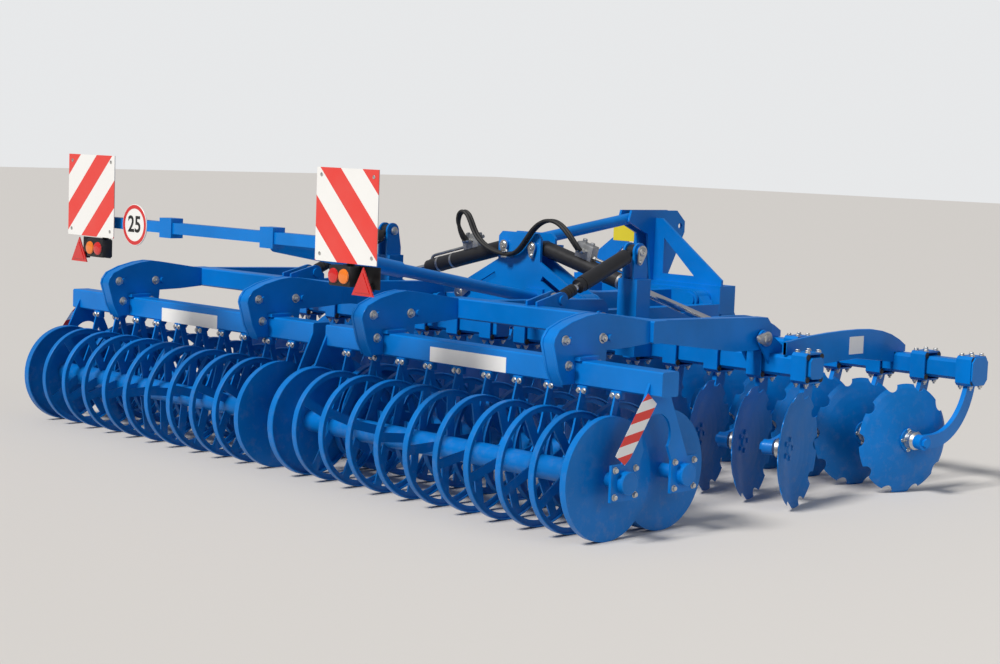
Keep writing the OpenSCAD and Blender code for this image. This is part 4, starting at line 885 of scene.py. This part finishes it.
as_piece(bm, "speed_ring", speed_red, "centre")
number = bpy.data.curves.new("speed_number", "FONT")
number.body = "25"
number.size = 0.105
number.align_x = "CENTER"
number.align_y = "CENTER"
number.extrude = 0.0004
number.offset = 0.0022
number.materials.append(print_black)
digits = bpy.data.objects.new("speed_number", number)
face = spot(SPEED["x"], SPEED["rear"] - PRINT_OUT, SPEED["z"])
digits.matrix_world = Matrix.Translation(face) @ Matrix.Rotation(math.pi / 2, 4, "X")
bpy.context.collection.objects.link(digits)
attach(digits, "centre")


# Films on the frame
# Striped warning film runs down the rear leg of each outer side plate, stuck to the paint. Blank
# white and yellow films stand where a maker puts plates and notes.
side_film = board_film.copy()
side_film.name = "striped side film"
tree = side_film.node_tree
made, join = tree.nodes.new, tree.links.new
shader = tree.nodes["Principled BSDF"]
where = next(step for step in tree.nodes if step.type == "TEX_COORD")
parts = next(step for step in tree.nodes if step.type == "SEPXYZ")
SIDE_PITCH, SIDE_START, SIDE_RED, SIDE_RISE = 0.0755, 0.03, 0.036, 0.16
slant = maths("SUBTRACT", parts.outputs["Z"], maths("MULTIPLY", parts.outputs["Y"], SIDE_RISE))
phase = maths("FLOORED_MODULO", maths("ADD", slant, SIDE_START), SIDE_PITCH)
red_share = maths("LESS_THAN", phase, SIDE_RED)
join(mixed(red_share, FILM_WHITE, FILM_RED), shader.inputs["Base Color"])
SIDE_FILM_X, SIDE_FILM_THICK = 2.0302, 0.001
SIDE_FILM = (
    (0.117, 0.592), (0.172, 0.548), (0.027, 0.345), (-0.006, 0.318), (-0.062, 0.358), (0.078, 0.556),
)
for wing, side in WINGS.items():
    bm = bmesh.new()
    slab(bm, [spot(side * SIDE_FILM_X, y, z) for y, z in SIDE_FILM], (side * SIDE_FILM_THICK, 0, 0))
    as_piece(bm, f"side_film_{wing}", side_film, f"roller_unit_{wing}")
FILM_THICK = 0.0008
BEAM_FILM_Y = 0.13
BEAM_FILMS = (("l", -1.26, -0.79, 0.58, 0.648), ("r", 0.76, 1.23, 0.585, 0.65))
ARCH_FILM = ((1.915, 0.622), (2.03, 0.622), (2.03, 0.705), (1.915, 0.705))
MAST_FILM_Y = 2.466
MAST_FILM = ((-0.26, 1.035), (-0.107, 1.035), (-0.107, 1.133), (-0.26, 1.133))
yellow_film = smooth_finish("yellow film", (0.75, 0.62, 0.03), 0.35,
                            metallic=0.0, scratch=0.02, drift=0.05)
for wing, x0, x1, z0, z1 in BEAM_FILMS:
    bm = bmesh.new()
    corners = ((x0, z0), (x1, z0), (x1, z1), (x0, z1))
    slab(bm, [spot(x, BEAM_FILM_Y, z) for x, z in corners], (0, -FILM_THICK, 0))
    as_piece(bm, f"blank_film_{wing}", speed_white, f"roller_unit_{wing}")
bm = bmesh.new()
slab(bm, [spot(ARCH_X["r"][0] + ARCH_HALF, y, z) for y, z in ARCH_FILM], (FILM_THICK, 0, 0))
as_piece(bm, "blank_film_arch", speed_white, "wing_r")
bm = bmesh.new()
slab(bm, [spot(x, MAST_FILM_Y, z) for x, z in MAST_FILM], (0, -FILM_THICK, 0))
as_piece(bm, "yellow_film", yellow_film, "centre")


# Studio
# Pale even floor and backdrop with soft light: a broad key from behind the machine, a weaker
# lamp on its right, and an open sky that fills the shade.
floor_mesh = bpy.data.meshes.new("studio_floor")
FLOOR_REACH = 60.0
floor_mesh.from_pydata(
    [(-FLOOR_REACH, -FLOOR_REACH, 0), (FLOOR_REACH, -FLOOR_REACH, 0), (FLOOR_REACH, FLOOR_REACH, 0),
     (-FLOOR_REACH, FLOOR_REACH, 0)], [], [(0, 1, 2, 3)])
floor_coat = bpy.data.materials.new("pale studio floor")
floor_coat.use_nodes = True
floor_shader = floor_coat.node_tree.nodes["Principled BSDF"]
floor_shader.inputs["Base Color"].default_value = (0.62, 0.60, 0.57, 1)
floor_shader.inputs["Roughness"].default_value = 0.9
floor_mesh.materials.append(floor_coat)
floor = bpy.data.objects.new("studio_floor", floor_mesh)
bpy.context.collection.objects.link(floor)

world = bpy.data.worlds.new("studio air")
bpy.context.scene.world = world
world.use_nodes = True
sky = world.node_tree.nodes["Background"]
sky.inputs["Color"].default_value = (0.86, 0.9, 1.0, 1)
sky.inputs["Strength"].default_value = 0.29
backdrop = world.node_tree.nodes.new("ShaderNodeBackground")
backdrop.inputs["Color"].default_value = (0.80, 0.81, 0.82, 1)
backdrop.inputs["Strength"].default_value = 1.0
light_path = world.node_tree.nodes.new("ShaderNodeLightPath")
seen = world.node_tree.nodes.new("ShaderNodeMath")
seen.operation = "MAXIMUM"
world.node_tree.links.new(light_path.outputs["Is Camera Ray"], seen.inputs[0])
world.node_tree.links.new(light_path.outputs["Is Transmission Ray"], seen.inputs[1])
pick = world.node_tree.nodes.new("ShaderNodeMixShader")
world.node_tree.links.new(seen.outputs["Value"], pick.inputs["Fac"])
world.node_tree.links.new(sky.outputs["Background"], pick.inputs[1])
world.node_tree.links.new(backdrop.outputs["Background"], pick.inputs[2])
world.node_tree.links.new(
    pick.outputs["Shader"], world.node_tree.nodes["World Output"].inputs["Surface"])
sun_data = bpy.data.lights.new("broad_key", "SUN")
sun_data.energy = 3.5
sun_data.angle = math.radians(14)
sun_data.color = (1.0, 0.97, 0.93)
sun = bpy.data.objects.new("broad_key", sun_data)
sun.rotation_euler = Vector((-0.02, -0.85, 0.9)).to_track_quat("Z", "Y").to_euler()
bpy.context.collection.objects.link(sun)
side_data = bpy.data.lights.new("side_lamp", "AREA")
side_data.shape = "DISK"
side_data.size = 5
side_data.energy = 90
side_data.color = (0.95, 0.97, 1.0)
side_lamp = bpy.data.objects.new("side_lamp", side_data)
side_lamp.location = (9, -1, 4)
side_lamp.rotation_euler = Vector((9, -1, 3.4)).to_track_quat("Z", "Y").to_euler()
bpy.context.collection.objects.link(side_lamp)


# Camera
# Stands to the right behind the machine at about a person's eye height, and leans a little.
# Its lens and place match the view that the sizes were worked out from.
YAW, PITCH, ROLL = 0.780955, 0.0973734, 0.0366524
CAMERA_AT = (6.8372, -6.6769, 1.5385)
forward = Vector((-math.sin(YAW) * math.cos(PITCH), math.cos(YAW) * math.cos(PITCH), -math.sin(PITCH)))
level = Vector((math.cos(YAW), math.sin(YAW), 0))
upright = level.cross(forward)
right = math.cos(ROLL) * level + math.sin(ROLL) * upright
up = math.cos(ROLL) * upright - math.sin(ROLL) * level
camera_data = bpy.data.cameras.new("camera")
camera_data.lens = 68.65
camera_data.sensor_width = 36
camera_data.clip_end = 200
camera = bpy.data.objects.new("camera", camera_data)
camera.matrix_world = Matrix((
    (right.x, up.x, -forward.x, CAMERA_AT[0]),
    (right.y, up.y, -forward.y, CAMERA_AT[1]),
    (right.z, up.z, -forward.z, CAMERA_AT[2]),
    (0, 0, 0, 1),
))
bpy.context.collection.objects.link(camera)
bpy.context.scene.camera = camera
bpy.context.scene.view_settings.view_transform = "Standard"
